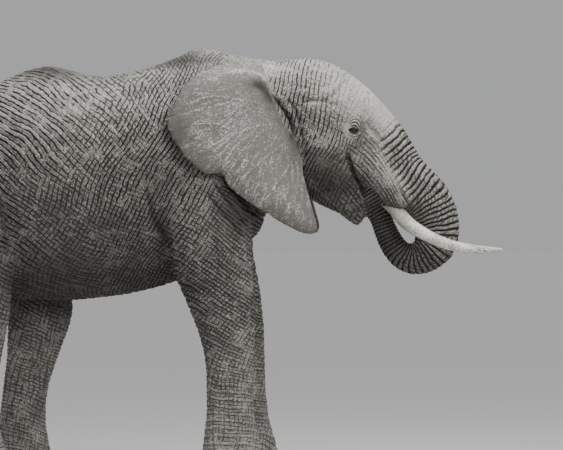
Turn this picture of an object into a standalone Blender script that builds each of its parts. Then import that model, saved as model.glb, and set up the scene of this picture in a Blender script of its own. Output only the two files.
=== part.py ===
"""A life-size African bush elephant, standing, with its trunk curled back to its mouth.

The animal faces +X, its left side is +Y and up is +Z, in metres. The origin is on the floor, under the
middle of its bounding box. The flesh is modelled whole from lofts, fused by a voxel remesh, and then parted
by thin cuts into head, jaw, neck, torso, trunk and legs. Ears, tail, trunk tip, eyes, tusks, toenails and
the tail tuft are solids of their own, set into or against the flesh with a small gap.
"""

import math

import bmesh
import bpy
import numpy as np
from mathutils import Matrix, Vector

# Driving sizes. Every table below is in metres for a shoulder height of 3.0 m, and is scaled to the one
# wanted.
SHOULDER_HEIGHT = 3.0
TABLE_HEIGHT = 3.0
SCALE = SHOULDER_HEIGHT / TABLE_HEIGHT

# How the flesh is meshed: voxels, softening, and how many triangles it keeps before it is cut up.
VOXEL = 0.022 * SCALE
SOFTEN_PASSES = 14
FLESH_TRIANGLES = 2500
SHARP_ANGLE = math.radians(50)

# The clear space left between solids that meet: along a plain cut, and round a solid set into another.
GAP = 0.0003
ROOM = 0.0005

SIDES = {"right": -1, "left": 1}

# Stance: the heights of each leg's upper and middle joint, and how far the middle joint and the foot stand
# forward of the leg tables below.
FORE_STANCE = {"right": (1.60, 0.70, 0.0, 0.0), "left": (1.60, 0.70, 0.085, 0.10)}
HIND_STANCE = {"right": (2.15, 1.18, 0.0, 0.0), "left": (2.15, 1.18, 0.42, 0.26)}

# Vertical sections along the body: x, top z, bottom z, half width, how much the top narrows.
TORSO = [
    (-2.09, 2.14, 1.80, 0.12, 0.00),
    (-2.05, 2.29, 1.62, 0.26, 0.05),
    (-1.95, 2.43, 1.46, 0.38, 0.10),
    (-1.75, 2.60, 1.33, 0.48, 0.18),
    (-1.47, 2.785, 1.23, 0.545, 0.24),
    (-1.12, 2.905, 1.20, 0.60, 0.24),
    (-0.76, 2.825, 1.215, 0.63, 0.24),
    (-0.38, 2.895, 1.28, 0.615, 0.24),
    (-0.02, 3.02, 1.40, 0.54, 0.24),
    (0.22, 2.99, 1.52, 0.46, 0.20),
    (0.40, 2.93, 1.70, 0.36, 0.10),
    (0.49, 2.80, 1.90, 0.24, 0.05),
]
NECK = [
    (-0.10, 2.98, 1.75, 0.40, 0.14),
    (0.30, 2.955, 1.86, 0.39, 0.12),
    (0.55, 2.945, 1.97, 0.36, 0.08),
    (0.80, 2.945, 2.04, 0.33, 0.06),
    (0.92, 2.90, 2.12, 0.25, 0.04),
]
CRANIUM = [
    (0.44, 2.90, 2.12, 0.25, 0.05),
    (0.55, 2.945, 2.02, 0.32, 0.14),
    (0.72, 2.962, 1.97, 0.355, 0.22),
    (0.88, 2.942, 1.99, 0.36, 0.22),
    (1.01, 2.880, 2.07, 0.345, 0.18),
    (1.12, 2.805, 2.18, 0.31, 0.12),
    (1.23, 2.71, 2.34, 0.24, 0.05),
    (1.30, 2.63, 2.44, 0.14, 0.00),
]

# The face and trunk along their bent midline: x, z, half depth, half width.
TRUNK = [
    (0.92, 2.62, 0.22, 0.24),
    (1.08, 2.47, 0.27, 0.27),
    (1.235, 2.31, 0.262, 0.262),
    (1.375, 2.135, 0.235, 0.230),
    (1.505, 2.03, 0.20, 0.198),
    (1.61, 1.94, 0.186, 0.182),
    (1.675, 1.82, 0.177, 0.170),
    (1.698, 1.70, 0.165, 0.160),
    (1.680, 1.60, 0.152, 0.150),
    (1.615, 1.535, 0.140, 0.137),
    (1.52, 1.497, 0.120, 0.124),
]
# The rest of the trunk, which bends back and up into the mouth: x, z, half depth, half width.
TRUNK_END = [
    (1.680, 1.60, 0.150, 0.148),
    (1.615, 1.535, 0.138, 0.135),
    (1.52, 1.500, 0.117, 0.121),
    (1.43, 1.535, 0.103, 0.112),
    (1.37, 1.61, 0.096, 0.106),
    (1.325, 1.70, 0.090, 0.100),
    (1.285, 1.80, 0.083, 0.093),
    (1.235, 1.885, 0.076, 0.087),
    (1.190, 1.960, 0.070, 0.078),
    (1.160, 2.020, 0.058, 0.066),
    (1.145, 2.055, 0.034, 0.044),
]
# Planes that part the head and trunk, each a point on the midline and the way it runs there: x, z, x, z.
# Each is named for the length that starts at it.
CUTS = {
    "neck": (0.16, 2.45, 0.96, 0.27),
    "head": (0.50, 2.45, 0.96, 0.27),
    "trunk_base": (1.205, 2.345, 0.70, -0.71),
    "trunk_upper": (1.585, 1.975, 0.76, -0.65),
    "trunk_lower": (1.698, 1.720, 0.10, -1.0),
    "trunk_curl": (1.575, 1.515, -0.95, -0.31),
    "trunk_tip": (1.350, 1.650, -0.42, 0.91),
}
MOUTH_CORNER = (1.077, 2.133)
JAW_CUT_DEGREES = 24
# How far the regions of these cuts reach: the jaw's length, height and half width, the half width and
# depth of the others, and their length.
JAW_REGION = (0.5, 0.6, 0.5)
HEAD_REACH = 0.95
TRUNK_REACH = 0.7
TRUNK_END_REACH = 0.3
TRUNK_STUB_REACH = 0.25
REGION_LENGTH = 1.0
FLOOR_REACH = 3.0

JAW = [
    (0.76, 2.12, 0.15, 0.25),
    (0.92, 2.03, 0.16, 0.215),
    (1.03, 1.935, 0.125, 0.155),
    (1.085, 1.855, 0.090, 0.112),
    (1.115, 1.785, 0.058, 0.075),
    (1.128, 1.735, 0.032, 0.045),
]

# The fleshy sheath round each tusk root, then the tusk: x, y, z, half depth, half width.
TUSK_SHEATH = [
    (1.12, 0.15, 2.28, 0.12, 0.09),
    (1.26, 0.195, 2.11, 0.135, 0.105),
    (1.36, 0.222, 1.985, 0.120, 0.102),
    (1.43, 0.242, 1.910, 0.100, 0.092),
    (1.475, 0.258, 1.862, 0.076, 0.076),
]
TUSK = [
    (1.20, 0.185, 2.055, 0.050, 0.050),
    (1.30, 0.212, 1.955, 0.058, 0.058),
    (1.388, 0.240, 1.865, 0.060, 0.060),
    (1.460, 0.268, 1.790, 0.059, 0.059),
    (1.533, 0.297, 1.728, 0.057, 0.057),
    (1.677, 0.345, 1.648, 0.051, 0.051),
    (1.822, 0.375, 1.598, 0.0425, 0.0425),
    (1.967, 0.388, 1.576, 0.0315, 0.0315),
    (2.075, 0.386, 1.574, 0.0200, 0.0200),
    (2.130, 0.382, 1.577, 0.0105, 0.0105),
    (2.147, 0.380, 1.578, 0.0040, 0.0040),
]

# Each leg: x, y, z, half depth, half width.
FORE_LEG = [
    (-0.04, 0.20, 2.88, 0.12, 0.07),
    (0.00, 0.29, 2.64, 0.22, 0.12),
    (0.04, 0.36, 2.34, 0.30, 0.165),
    (0.06, 0.40, 2.02, 0.335, 0.19),
    (0.04, 0.42, 1.74, 0.325, 0.20),
    (0.072, 0.41, 1.50, 0.298, 0.20),
    (0.112, 0.40, 1.34, 0.270, 0.188),
    (0.150, 0.395, 1.18, 0.245, 0.175),
    (0.180, 0.39, 1.00, 0.212, 0.165),
    (0.197, 0.385, 0.80, 0.183, 0.157),
    (0.200, 0.385, 0.56, 0.172, 0.157),
    (0.203, 0.385, 0.36, 0.182, 0.170),
    (0.212, 0.385, 0.18, 0.212, 0.198),
    (0.220, 0.385, 0.06, 0.236, 0.222),
    (0.220, 0.385, -0.05, 0.242, 0.228),
]
HIND_LEG = [
    (-1.62, 0.22, 2.44, 0.24, 0.11),
    (-1.66, 0.30, 2.20, 0.34, 0.17),
    (-1.68, 0.35, 1.90, 0.37, 0.21),
    (-1.68, 0.37, 1.62, 0.345, 0.21),
    (-1.65, 0.365, 1.38, 0.305, 0.195),
    (-1.62, 0.36, 1.16, 0.262, 0.178),
    (-1.615, 0.355, 0.94, 0.215, 0.160),
    (-1.63, 0.350, 0.72, 0.182, 0.148),
    (-1.64, 0.350, 0.52, 0.170, 0.145),
    (-1.63, 0.350, 0.32, 0.178, 0.156),
    (-1.61, 0.350, 0.15, 0.206, 0.182),
    (-1.60, 0.350, 0.05, 0.226, 0.200),
    (-1.60, 0.350, -0.05, 0.230, 0.204),
]
# The height at which each foot is parted from its leg, and the domed cut that parts the leg from the
# torso: its middle y, the z where the dome starts, its half sizes along and across, and its rise.
FORE_ANKLE_Z = 0.20
HIND_ANKLE_Z = 0.19
FORE_SOCKET = (0.52, 1.25, 0.47, 0.46, 0.84)
HIND_SOCKET = (0.50, 1.22, 0.58, 0.44, 0.94)
DOME_DEGREES = (0, 30, 55, 75, 86)
DOME_AROUND = 16
MIDLINE_CLEARANCE = 0.02
FOOT_REACH = 0.8

TAIL = [
    (-1.84, 0.0, 2.47, 0.070, 0.090),
    (-1.98, 0.0, 2.385, 0.072, 0.085),
    (-2.10, 0.0, 2.27, 0.064, 0.070),
    (-2.175, 0.0, 2.12, 0.052, 0.056),
    (-2.210, 0.0, 1.90, 0.042, 0.044),
    (-2.225, 0.0, 1.60, 0.032, 0.033),
    (-2.215, 0.0, 1.30, 0.025, 0.025),
    (-2.205, 0.0, 1.17, 0.018, 0.018),
]
TAIL_TUFT = [
    (-2.218, 0.0, 1.36, 0.012, 0.012),
    (-2.216, 0.0, 1.30, 0.048, 0.032),
    (-2.205, 0.0, 1.14, 0.062, 0.036),
    (-2.195, 0.0, 0.98, 0.050, 0.028),
    (-2.190, 0.0, 0.84, 0.018, 0.012),
]

# The ear lies back from the head over the shoulder. Rows from top to lobe: z, front x, rear x, front y,
# rear y, how far the middle swells outwards.
EAR = [
    (2.935, 0.40, 0.22, 0.175, 0.250, 0.000),
    (2.915, 0.43, 0.14, 0.200, 0.320, 0.010),
    (2.870, 0.44, 0.04, 0.240, 0.430, 0.030),
    (2.810, 0.45, -0.07, 0.285, 0.520, 0.045),
    (2.726, 0.49, -0.14, 0.320, 0.585, 0.050),
    (2.610, 0.56, -0.21, 0.330, 0.625, 0.050),
    (2.500, 0.61, -0.26, 0.330, 0.655, 0.048),
    (2.400, 0.67, -0.25, 0.330, 0.675, 0.045),
    (2.290, 0.70, -0.17, 0.335, 0.685, 0.042),
    (2.190, 0.715, -0.08, 0.340, 0.680, 0.040),
    (2.110, 0.73, 0.03, 0.355, 0.670, 0.038),
    (2.085, 0.735, 0.14, 0.365, 0.650, 0.036),
    (1.990, 0.76, 0.21, 0.395, 0.645, 0.034),
    (1.895, 0.785, 0.36, 0.425, 0.615, 0.028),
    (1.800, 0.81, 0.51, 0.440, 0.570, 0.020),
    (1.730, 0.828, 0.64, 0.450, 0.525, 0.010),
    (1.690, 0.80, 0.73, 0.455, 0.480, 0.002),
]
EAR_FORWARD = {"right": 0.0, "left": 0.025}
EAR_ROOT_THICKNESS = 0.052
EAR_RIM_THICKNESS = 0.013
EAR_EDGE = 0.35
EAR_BEND = 0.8
EAR_COLUMNS = 5

EYE_CENTRE = (1.083, 0.303, 2.429)
EYE_RADIUS = 0.023

# Toenails: how many, the arc of the foot they stand on, and the half sizes of each: across, through, up.
FORE_NAILS = (4, -62, 62)
HIND_NAILS = (3, -45, 45)
NAIL_SIZE = (0.058, 0.024, 0.050)
NAIL_Z = 0.066
NAIL_OUT = 0.95
NAIL_LEAN = math.radians(-14)
NAIL_SEGMENTS = (6, 4)

# Bones and muscles that swell the skin: centre x, y, z, half sizes along, across and up, tilt in degrees.
SWELLINGS = [
    (-1.46, 0.22, 2.38, 0.36, 0.26, 0.26, 20),
    (1.195, 0.12, 1.995, 0.14, 0.10, 0.105, 38),
    (0.84, 0.20, 2.30, 0.27, 0.180, 0.25, 0),
    (0.98, 0.185, 2.14, 0.16, 0.150, 0.17, -20),
    (1.06, 0.195, 2.47, 0.17, 0.105, 0.15, 20),
    (0.84, 0.12, 2.79, 0.24, 0.14, 0.15, 15),
    (0.28, 0.18, 1.82, 0.17, 0.20, 0.20, 0),
    (-0.16, 0.36, 1.82, 0.22, 0.17, 0.26, 25),
    (0.02, 0.10, 2.93, 0.20, 0.06, 0.10, 5),
]

# Folds of skin from the flank to each knee, as rows of the same kind that move with the stance.
KNEE_FOLDS = [
    (-1.46, 0.33, 1.50, 0.16, 0.11, 0.18, 35),
]

MATERIALS = {
    "skin": ((0.155, 0.145, 0.135, 1), 0.85),
    "ivory": ((0.72, 0.68, 0.58, 1), 0.35),
    "horn": ((0.20, 0.18, 0.15, 1), 0.55),
    "eye": ((0.03, 0.018, 0.01, 1), 0.10),
    "hair": ((0.02, 0.018, 0.016, 1), 0.60),
}


# Tools for lofts.


def smooth_path(rows, steps):
    """The rows with points read in between from a Catmull-Rom curve through each column."""
    table = np.array(rows, float)
    ends = np.vstack([2 * table[0] - table[1], table, 2 * table[-1] - table[-2]])
    found = []
    for a, b, c, d in zip(ends, ends[1:], ends[2:], ends[3:]):
        for t in np.arange(steps) / steps:
            bend = 2 * a - 5 * b + 4 * c - d + t * (3 * (b - c) + d - a)
            found.append(b + 0.5 * t * (c - a + t * bend))
    found.append(table[-1])
    return found


def ring(bm, places):
    """A loop of vertices through the places, and its edges."""
    loop = bmesh.ops.create_circle(bm, segments=len(places), radius=1)["verts"]
    for vertex, place in zip(loop, places):
        vertex.co = place * SCALE
    return list(dict.fromkeys(edge for vertex in loop for edge in vertex.link_edges))


def skin_over(bm, loops):
    """A closed skin from loop to loop, with both ends capped."""
    for low, high in zip(loops, loops[1:]):
        bmesh.ops.bridge_loops(bm, edges=low + high)
    for end in (loops[0], loops[-1]):
        bmesh.ops.contextual_create(bm, geom=end)


def loft(bm, sections, around):
    """A closed tube through sections of (centre, along, half depth, half width, narrowing of the top)."""
    loops = []
    for centre, along, half_depth, half_width, narrowing in sections:
        side = (Vector((0, 1, 0)) - along * along.y).normalized()
        up = side.cross(along)
        places = []
        for i in range(around):
            angle = 2 * math.pi * i / around
            wide = math.cos(angle) * half_width * (1 - narrowing * math.sin(angle))
            places.append(centre + side * wide + up * math.sin(angle) * half_depth)
        loops.append(ring(bm, places))
    skin_over(bm, loops)


def body_loft(bm, rows, around=28):
    """A loft whose sections stand upright across X, from rows of x, top, bottom, half width and narrowing."""
    sections = [
        (Vector((x, 0, (top + low) / 2)), Vector((1, 0, 0)), (top - low) / 2, half_width, narrowing)
        for x, top, low, half_width, narrowing in smooth_path(rows, 4)
    ]
    loft(bm, sections, around)


def limb_loft(bm, rows, around=20, steps=4):
    """A loft square to its own midline, from rows of x, y, z, half depth and half width."""
    rows = smooth_path(rows, steps)
    centres = [Vector(row[:3]) for row in rows]
    sections = []
    for i, row in enumerate(rows):
        along = centres[min(i + 1, len(rows) - 1)] - centres[max(i - 1, 0)]
        sections.append((centres[i], along.normalized(), row[3], row[4], 0.0))
    loft(bm, sections, around)


def midline(rows):
    """Rows of x, z, half depth and half width, on the plane y = 0, as rows for limb_loft."""
    return [(x, 0.0, z, depth, width) for x, z, depth, width in rows]


def on_side(rows, side):
    return [(row[0], side * row[1], *row[2:]) for row in rows]


def stance_shift(z, stance):
    """How far forward a leg stands at height z, when its middle joint and foot are moved by the stance."""
    upper_z, middle_z, middle, foot = stance
    return float(np.interp(z, (0.0, middle_z, upper_z), (foot, middle, 0.0)))


def standing(rows, stance):
    return [(row[0] + stance_shift(row[2], stance), *row[1:]) for row in rows]


def standing_folds(stance):
    return [(row[0] + stance_shift(row[2], stance), *row[1:]) for row in KNEE_FOLDS]


# Tools for whole objects.


def object_from(bm, name):
    bmesh.ops.recalc_face_normals(bm, faces=bm.faces)
    mesh = bpy.data.meshes.new(name)
    bm.to_mesh(mesh)
    bm.free()
    made = bpy.data.objects.new(name, mesh)
    bpy.context.scene.collection.objects.link(made)
    return made


def applied(obj, name):
    """A new object with the mesh that obj's modifiers make. The old one is removed."""
    bpy.context.view_layer.update()
    graph = bpy.context.evaluated_depsgraph_get()
    mesh = bpy.data.meshes.new_from_object(obj.evaluated_get(graph), depsgraph=graph)
    bpy.data.objects.remove(obj)
    made = bpy.data.objects.new(name, mesh)
    bpy.context.scene.collection.objects.link(made)
    return made


def duplicate(obj, name):
    made = bpy.data.objects.new(name, obj.data.copy())
    bpy.context.scene.collection.objects.link(made)
    return made


def boolean(obj, cutter, operation):
    modifier = obj.modifiers.new(operation.lower(), "BOOLEAN")
    modifier.operation = operation
    modifier.solver = "EXACT"
    modifier.object = cutter


def grown(obj, amount):
    """A copy of obj that is fatter by amount everywhere."""
    fat = duplicate(obj, "grown")
    modifier = fat.modifiers.new("grow", "DISPLACE")
    modifier.strength = amount
    modifier.mid_level = 0.0
    return applied(fat, "grown")


def carve(obj, other):
    """obj, with the room that other needs taken out of it."""
    room = grown(other, ROOM)
    boolean(obj, room, "DIFFERENCE")
    name = obj.name
    obj.name = "carved"
    result = applied(obj, name)
    bpy.data.objects.remove(room)
    return result


def box(low, high, turn=None):
    """A closed box between two corners, then moved by the matrix turn."""
    bm = bmesh.new()
    size = Vector(high) - Vector(low)
    middle = (Vector(high) + Vector(low)) / 2
    place = Matrix.Translation(middle * SCALE) @ Matrix.Diagonal((*(size * SCALE), 1))
    bmesh.ops.create_cube(bm, size=1, matrix=place if turn is None else turn @ place)
    return object_from(bm, "box")


def beyond(cut, reach, start=0.0):
    """A box of flesh beyond the plane of a cut, which starts a little further on if start is given."""
    x, z, way_x, way_z = CUTS[cut]
    along = Vector((way_x, 0, way_z)).normalized()
    turn = Matrix.Translation(Vector((x, 0, z)) * SCALE) @ along.to_track_quat("X", "Z").to_matrix().to_4x4()
    return box((start, -reach, -reach), (REGION_LENGTH, reach, reach), turn)


def ellipsoid(bm, centre, half_sizes, turn, fineness=3):
    place = Matrix.Translation(Vector(centre) * SCALE)
    size = Matrix.Diagonal((*(Vector(half_sizes) * SCALE), 1))
    bmesh.ops.create_icosphere(bm, subdivisions=fineness, radius=1, matrix=place @ turn @ size)


def part_off(rest, region, name):
    """Cuts the part of rest inside region off as a node. Returns the node and what is left of rest."""
    node = duplicate(rest, name + "_whole")
    boolean(node, region, "INTERSECT")
    node = applied(node, name)
    room = grown(region, ROOM)
    boolean(rest, room, "DIFFERENCE")
    rest = applied(rest, "rest")
    bpy.data.objects.remove(room)
    bpy.data.objects.remove(region)
    return node, rest


# The animal.


def whole_flesh():
    """The body, head, trunk and legs in one closed skin."""
    bm = bmesh.new()
    body_loft(bm, TORSO)
    body_loft(bm, NECK)
    body_loft(bm, CRANIUM)
    limb_loft(bm, midline(TRUNK), around=24)
    limb_loft(bm, midline(JAW))
    for name, side in SIDES.items():
        limb_loft(bm, on_side(TUSK_SHEATH, side))
        limb_loft(bm, on_side(standing(FORE_LEG, FORE_STANCE[name]), side))
        limb_loft(bm, on_side(standing(HIND_LEG, HIND_STANCE[name]), side))
        for x, y, z, along, across, up, tilt in SWELLINGS + standing_folds(HIND_STANCE[name]):
            turn = Matrix.Rotation(math.radians(tilt), 4, "Y")
            ellipsoid(bm, (x, side * y, z), (along, across, up), turn)
    rough = object_from(bm, "rough")
    fuse = rough.modifiers.new("fuse", "REMESH")
    fuse.mode = "VOXEL"
    fuse.voxel_size = VOXEL
    soften = rough.modifiers.new("soften", "SMOOTH")
    soften.factor = 0.5
    soften.iterations = SOFTEN_PASSES
    fused = applied(rough, "fused")

    thin = fused.modifiers.new("thin", "DECIMATE")
    thin.use_collapse_triangulate = True
    thin.ratio = FLESH_TRIANGLES / (2 * len(fused.data.polygons))
    flesh = applied(fused, "flesh")

    under_floor = box((-FLOOR_REACH, -FLOOR_REACH, -FLOOR_REACH), (FLOOR_REACH, FLOOR_REACH, 0))
    for spare in (under_floor, beyond("trunk_curl", TRUNK_STUB_REACH)):
        boolean(flesh, spare, "DIFFERENCE")
        flesh = applied(flesh, "flesh")
        bpy.data.objects.remove(spare)
    return flesh


def trunk_end():
    """The end of the trunk, from the bottom of its bend up to its tip, in two lengths."""
    bm = bmesh.new()
    limb_loft(bm, midline(TRUNK_END), around=12, steps=2)
    end = object_from(bm, "end")
    whole, stub = part_off(end, beyond("trunk_curl", TRUNK_REACH, GAP), "whole")
    bpy.data.objects.remove(stub)
    tip, curl = part_off(whole, beyond("trunk_tip", TRUNK_END_REACH), "trunk_tip")
    curl.name = "trunk_curl"
    return curl, tip


def ear(name, side):
    """A thin plate, thickest at its root in front, whose free edge is round."""
    bm = bmesh.new()
    loops = []
    for z, front, rear, front_y, rear_y, swell in EAR:
        outer, inner = [], []
        for i in range(EAR_COLUMNS + 1):
            part = i / EAR_COLUMNS
            x = front + (rear - front) * part + EAR_FORWARD[name]
            bend = math.sin(part * math.pi / 2) ** EAR_BEND
            y = front_y + (rear_y - front_y) * bend + swell * math.sin(part * math.pi)
            thick = EAR_RIM_THICKNESS + (EAR_ROOT_THICKNESS - EAR_RIM_THICKNESS) * (1 - part) ** 2
            if i in (0, EAR_COLUMNS):
                thick *= EAR_EDGE
            outer.append(Vector((x, side * (y + thick / 2), z)))
            inner.append(Vector((x, side * (y - thick / 2), z)))
        loops.append(ring(bm, outer + inner[::-1]))
    skin_over(bm, loops)
    return object_from(bm, "ear_" + name)


def limb(name, rows, around):
    bm = bmesh.new()
    limb_loft(bm, rows, around, steps=1)
    return object_from(bm, name)


def eye(name, side):
    x, y, z = EYE_CENTRE
    bm = bmesh.new()
    ellipsoid(bm, (x, side * y, z), (EYE_RADIUS,) * 3, Matrix.Identity(4), fineness=2)
    return object_from(bm, "eye_" + name)


def nails(prefix, side_name, rows, stance, spread):
    """The toenails of one foot, spread over an arc about straight ahead."""
    count, first, last = spread
    side = SIDES[side_name]
    x, y, _, half_depth, half_width = rows[-2]
    centre = Vector((x + stance_shift(0, stance), side * y, NAIL_Z))
    made = []
    for i in range(count):
        angle = math.radians(first + (last - first) * i / (count - 1)) * side
        out = Vector((half_depth * math.cos(angle), half_width * math.sin(angle), 0)) * NAIL_OUT
        across, through, up = NAIL_SIZE
        facing = Matrix.Rotation(math.atan2(out.y, out.x), 4, "Z") @ Matrix.Rotation(NAIL_LEAN, 4, "Y")
        place = Matrix.Translation((centre + out) * SCALE) @ facing
        size = Matrix.Diagonal((through * SCALE, across * SCALE, up * SCALE, 1))
        bm = bmesh.new()
        across_count, up_count = NAIL_SEGMENTS
        bmesh.ops.create_uvsphere(
            bm, u_segments=across_count, v_segments=up_count, radius=1, matrix=place @ size
        )
        made.append(object_from(bm, f"{prefix}_nail_{side_name}_{i + 1}"))
    return made


def leg_parts(rest, prefix, side_name, rows, stance, ankle, socket):
    """Parts one foot off, and then its leg."""
    side = SIDES[side_name]
    foot_x = rows[-1][0] + stance_shift(0, stance)
    inner, outer = sorted((side * MIDLINE_CLEARANCE, side * FOOT_REACH))
    around_foot = box((foot_x - FOOT_REACH, inner, -FOOT_REACH), (foot_x + FOOT_REACH, outer, ankle))
    foot, rest = part_off(rest, around_foot, f"{prefix}_foot_{side_name}")
    leg_x = float(np.interp(-socket[1], [-row[2] for row in rows], [row[0] for row in rows]))
    around_leg = domed_region(leg_x + stance_shift(socket[1], stance), side, *socket)
    leg, rest = part_off(rest, around_leg, f"{prefix}_leg_{side_name}")
    return [foot, leg], rest


def domed_region(x, side, y, dome_z, half_depth, half_width, rise):
    """An upright region from the floor up, closed by a dome."""
    up = Vector((0, 0, 1))
    sections = [(Vector((x, side * y, -half_depth)), up, half_depth, half_width, 0.0)]
    for angle in map(math.radians, DOME_DEGREES):
        centre = Vector((x, side * y, dome_z + rise * math.sin(angle)))
        sections.append((centre, up, half_depth * math.cos(angle), half_width * math.cos(angle), 0.0))
    bm = bmesh.new()
    loft(bm, sections, DOME_AROUND)
    return object_from(bm, "domed_region")


def head_parts(rest):
    """Parts the jaw, three lengths of trunk, the head and the neck off, and leaves the torso."""
    slope = Matrix.Rotation(math.radians(-JAW_CUT_DEGREES), 4, "Y")
    corner = Matrix.Translation(Vector((MOUTH_CORNER[0], 0, MOUTH_CORNER[1])) * SCALE)
    length, height, half_width = JAW_REGION
    around_jaw = box((-length, -half_width, -height), (0, half_width, 0), corner @ slope)
    jaw, rest = part_off(rest, around_jaw, "jaw")
    made = [jaw]
    for name in ("trunk_lower", "trunk_upper", "trunk_base"):
        piece, rest = part_off(rest, beyond(name, TRUNK_REACH), name)
        made.append(piece)
    for name in ("head", "neck"):
        piece, rest = part_off(rest, beyond(name, HEAD_REACH), name)
        made.append(piece)
    rest.name = "torso"
    return made, rest


def paint(obj, kind):
    colour, roughness = MATERIALS[kind]
    material = bpy.data.materials.new(f"{obj.name}_{kind}")
    material.use_nodes = True
    shader = material.node_tree.nodes["Principled BSDF"]
    shader.inputs["Base Color"].default_value = colour
    shader.inputs["Roughness"].default_value = roughness
    obj.data.materials.clear()
    obj.data.materials.append(material)
    obj.data.shade_smooth()
    obj.data.set_sharp_from_angle(angle=SHARP_ANGLE)


def settle(nodes):
    """Moves every node so that the origin is on the floor under the middle of the bounding box."""
    corners = np.array([vertex.co for node in nodes for vertex in node.data.vertices])
    low, high = corners.min(axis=0), corners.max(axis=0)
    shift = Matrix.Translation((-(low[0] + high[0]) / 2, -(low[1] + high[1]) / 2, -low[2]))
    for node in nodes:
        node.data.transform(shift)


def main():
    for obj in list(bpy.data.objects):
        bpy.data.objects.remove(obj)

    flesh = whole_flesh()
    curl, tip = trunk_end()
    tail = limb("tail", TAIL, around=10)
    tuft = limb("tail_tuft", TAIL_TUFT, around=8)
    ears = [ear(name, side) for name, side in SIDES.items()]
    tusks = [limb("tusk_" + name, on_side(TUSK, side), around=10) for name, side in SIDES.items()]
    eyes = [eye(name, side) for name, side in SIDES.items()]
    horn = []
    for name in SIDES:
        horn += nails("fore", name, FORE_LEG, FORE_STANCE[name], FORE_NAILS)
        horn += nails("hind", name, HIND_LEG, HIND_STANCE[name], HIND_NAILS)

    ears = [carve(made, flesh) for made in ears]
    tail = carve(tail, flesh)
    tuft = carve(tuft, tail)
    for other in [tip, curl] + tusks + eyes + horn:
        flesh = carve(flesh, other)

    rest = flesh
    skin = [tail, curl, tip] + ears
    for name in SIDES:
        made, rest = leg_parts(rest, "fore", name, FORE_LEG, FORE_STANCE[name], FORE_ANKLE_Z, FORE_SOCKET)
        skin += made
        made, rest = leg_parts(rest, "hind", name, HIND_LEG, HIND_STANCE[name], HIND_ANKLE_Z, HIND_SOCKET)
        skin += made
    made, torso = head_parts(rest)
    skin += made + [torso]

    for node in skin:
        paint(node, "skin")
    for node in tusks:
        paint(node, "ivory")
    for node in eyes:
        paint(node, "eye")
    for node in horn:
        paint(node, "horn")
    paint(tuft, "hair")
    settle(skin + tusks + eyes + horn + [tuft])


main()
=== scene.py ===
"""The looks of a life-size African bush elephant: its skin, eyes, tusks, toenails, hairs and a stage."""

import math

import bmesh
import bpy
import numpy as np
from bpy.props import FloatProperty, FloatVectorProperty, IntProperty, PointerProperty
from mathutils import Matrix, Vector
from mathutils.bvhtree import BVHTree


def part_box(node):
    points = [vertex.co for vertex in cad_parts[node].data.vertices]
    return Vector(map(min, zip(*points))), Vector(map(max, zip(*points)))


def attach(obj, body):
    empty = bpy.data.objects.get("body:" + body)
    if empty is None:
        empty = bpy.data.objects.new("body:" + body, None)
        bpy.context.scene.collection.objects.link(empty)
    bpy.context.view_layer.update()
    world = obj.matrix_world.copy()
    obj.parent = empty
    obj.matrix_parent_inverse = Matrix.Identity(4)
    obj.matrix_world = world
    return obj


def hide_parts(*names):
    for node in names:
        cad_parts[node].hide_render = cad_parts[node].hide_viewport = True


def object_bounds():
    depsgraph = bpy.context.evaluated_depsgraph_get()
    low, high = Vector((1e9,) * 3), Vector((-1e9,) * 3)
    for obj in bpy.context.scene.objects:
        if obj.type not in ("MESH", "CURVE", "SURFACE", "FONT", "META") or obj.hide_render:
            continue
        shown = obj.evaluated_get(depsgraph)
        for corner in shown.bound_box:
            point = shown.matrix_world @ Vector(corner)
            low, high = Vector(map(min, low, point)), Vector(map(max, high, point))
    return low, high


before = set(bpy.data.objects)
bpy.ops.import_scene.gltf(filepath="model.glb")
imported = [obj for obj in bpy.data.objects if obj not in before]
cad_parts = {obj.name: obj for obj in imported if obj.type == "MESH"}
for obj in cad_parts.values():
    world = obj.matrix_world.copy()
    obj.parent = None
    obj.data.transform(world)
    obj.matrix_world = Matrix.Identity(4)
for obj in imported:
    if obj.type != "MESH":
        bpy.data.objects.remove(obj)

bl_info = {
    "name": "Life-size elephant",
    "version": (1, 0, 0),
    "blender": (4, 5, 0),
    "location": "3D View > Sidebar > Elephant",
    "description": "Dresses the solids of a standing bush elephant in skin, ivory, horn and hair",
    "category": "Object",
}

MILLIMETRE = 0.001
# Further than anything here reaches.
FAR = 9
# Rounding shrinks a copy of a solid, which is swollen by this much to make up for it.
SWELL = 0.003
# The limbs and body melt together in a coarse mesh before the skin is cast over them.
CORE_VOXEL = 0.02
CORE_SMOOTHINGS = 7
SKIN_SMOOTHINGS = 3

CAD_LOW, CAD_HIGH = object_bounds()
EYE_LOW, EYE_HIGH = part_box("eye_right")
EYE = (EYE_LOW + EYE_HIGH) / 2
EYE_RADIUS = (EYE_HIGH.z - EYE_LOW.z) / 2

# Places below are in metres ahead of the shoulder line and above the floor, as seen from the side.
EYE_AHEAD = 1.083
SHOULDER_X = EYE.x - EYE_AHEAD

SIDES = {"right": -1, "left": 1}
FEET = [f"{which}_foot_{side}" for which in ("fore", "hind") for side in SIDES]
NAILS = {
    foot: [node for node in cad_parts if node.startswith(foot.replace("foot", "nail"))] for foot in FEET
}
EARS = [f"ear_{side}" for side in SIDES]
TUSKS = [f"tusk_{side}" for side in SIDES]
EYES = [f"eye_{side}" for side in SIDES]
HARD = EYES + TUSKS + sum(NAILS.values(), [])
FLESH = [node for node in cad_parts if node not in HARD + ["tail_tuft"]]
CORE = [node for node in FLESH if node not in EARS + ["tail"]]

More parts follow.
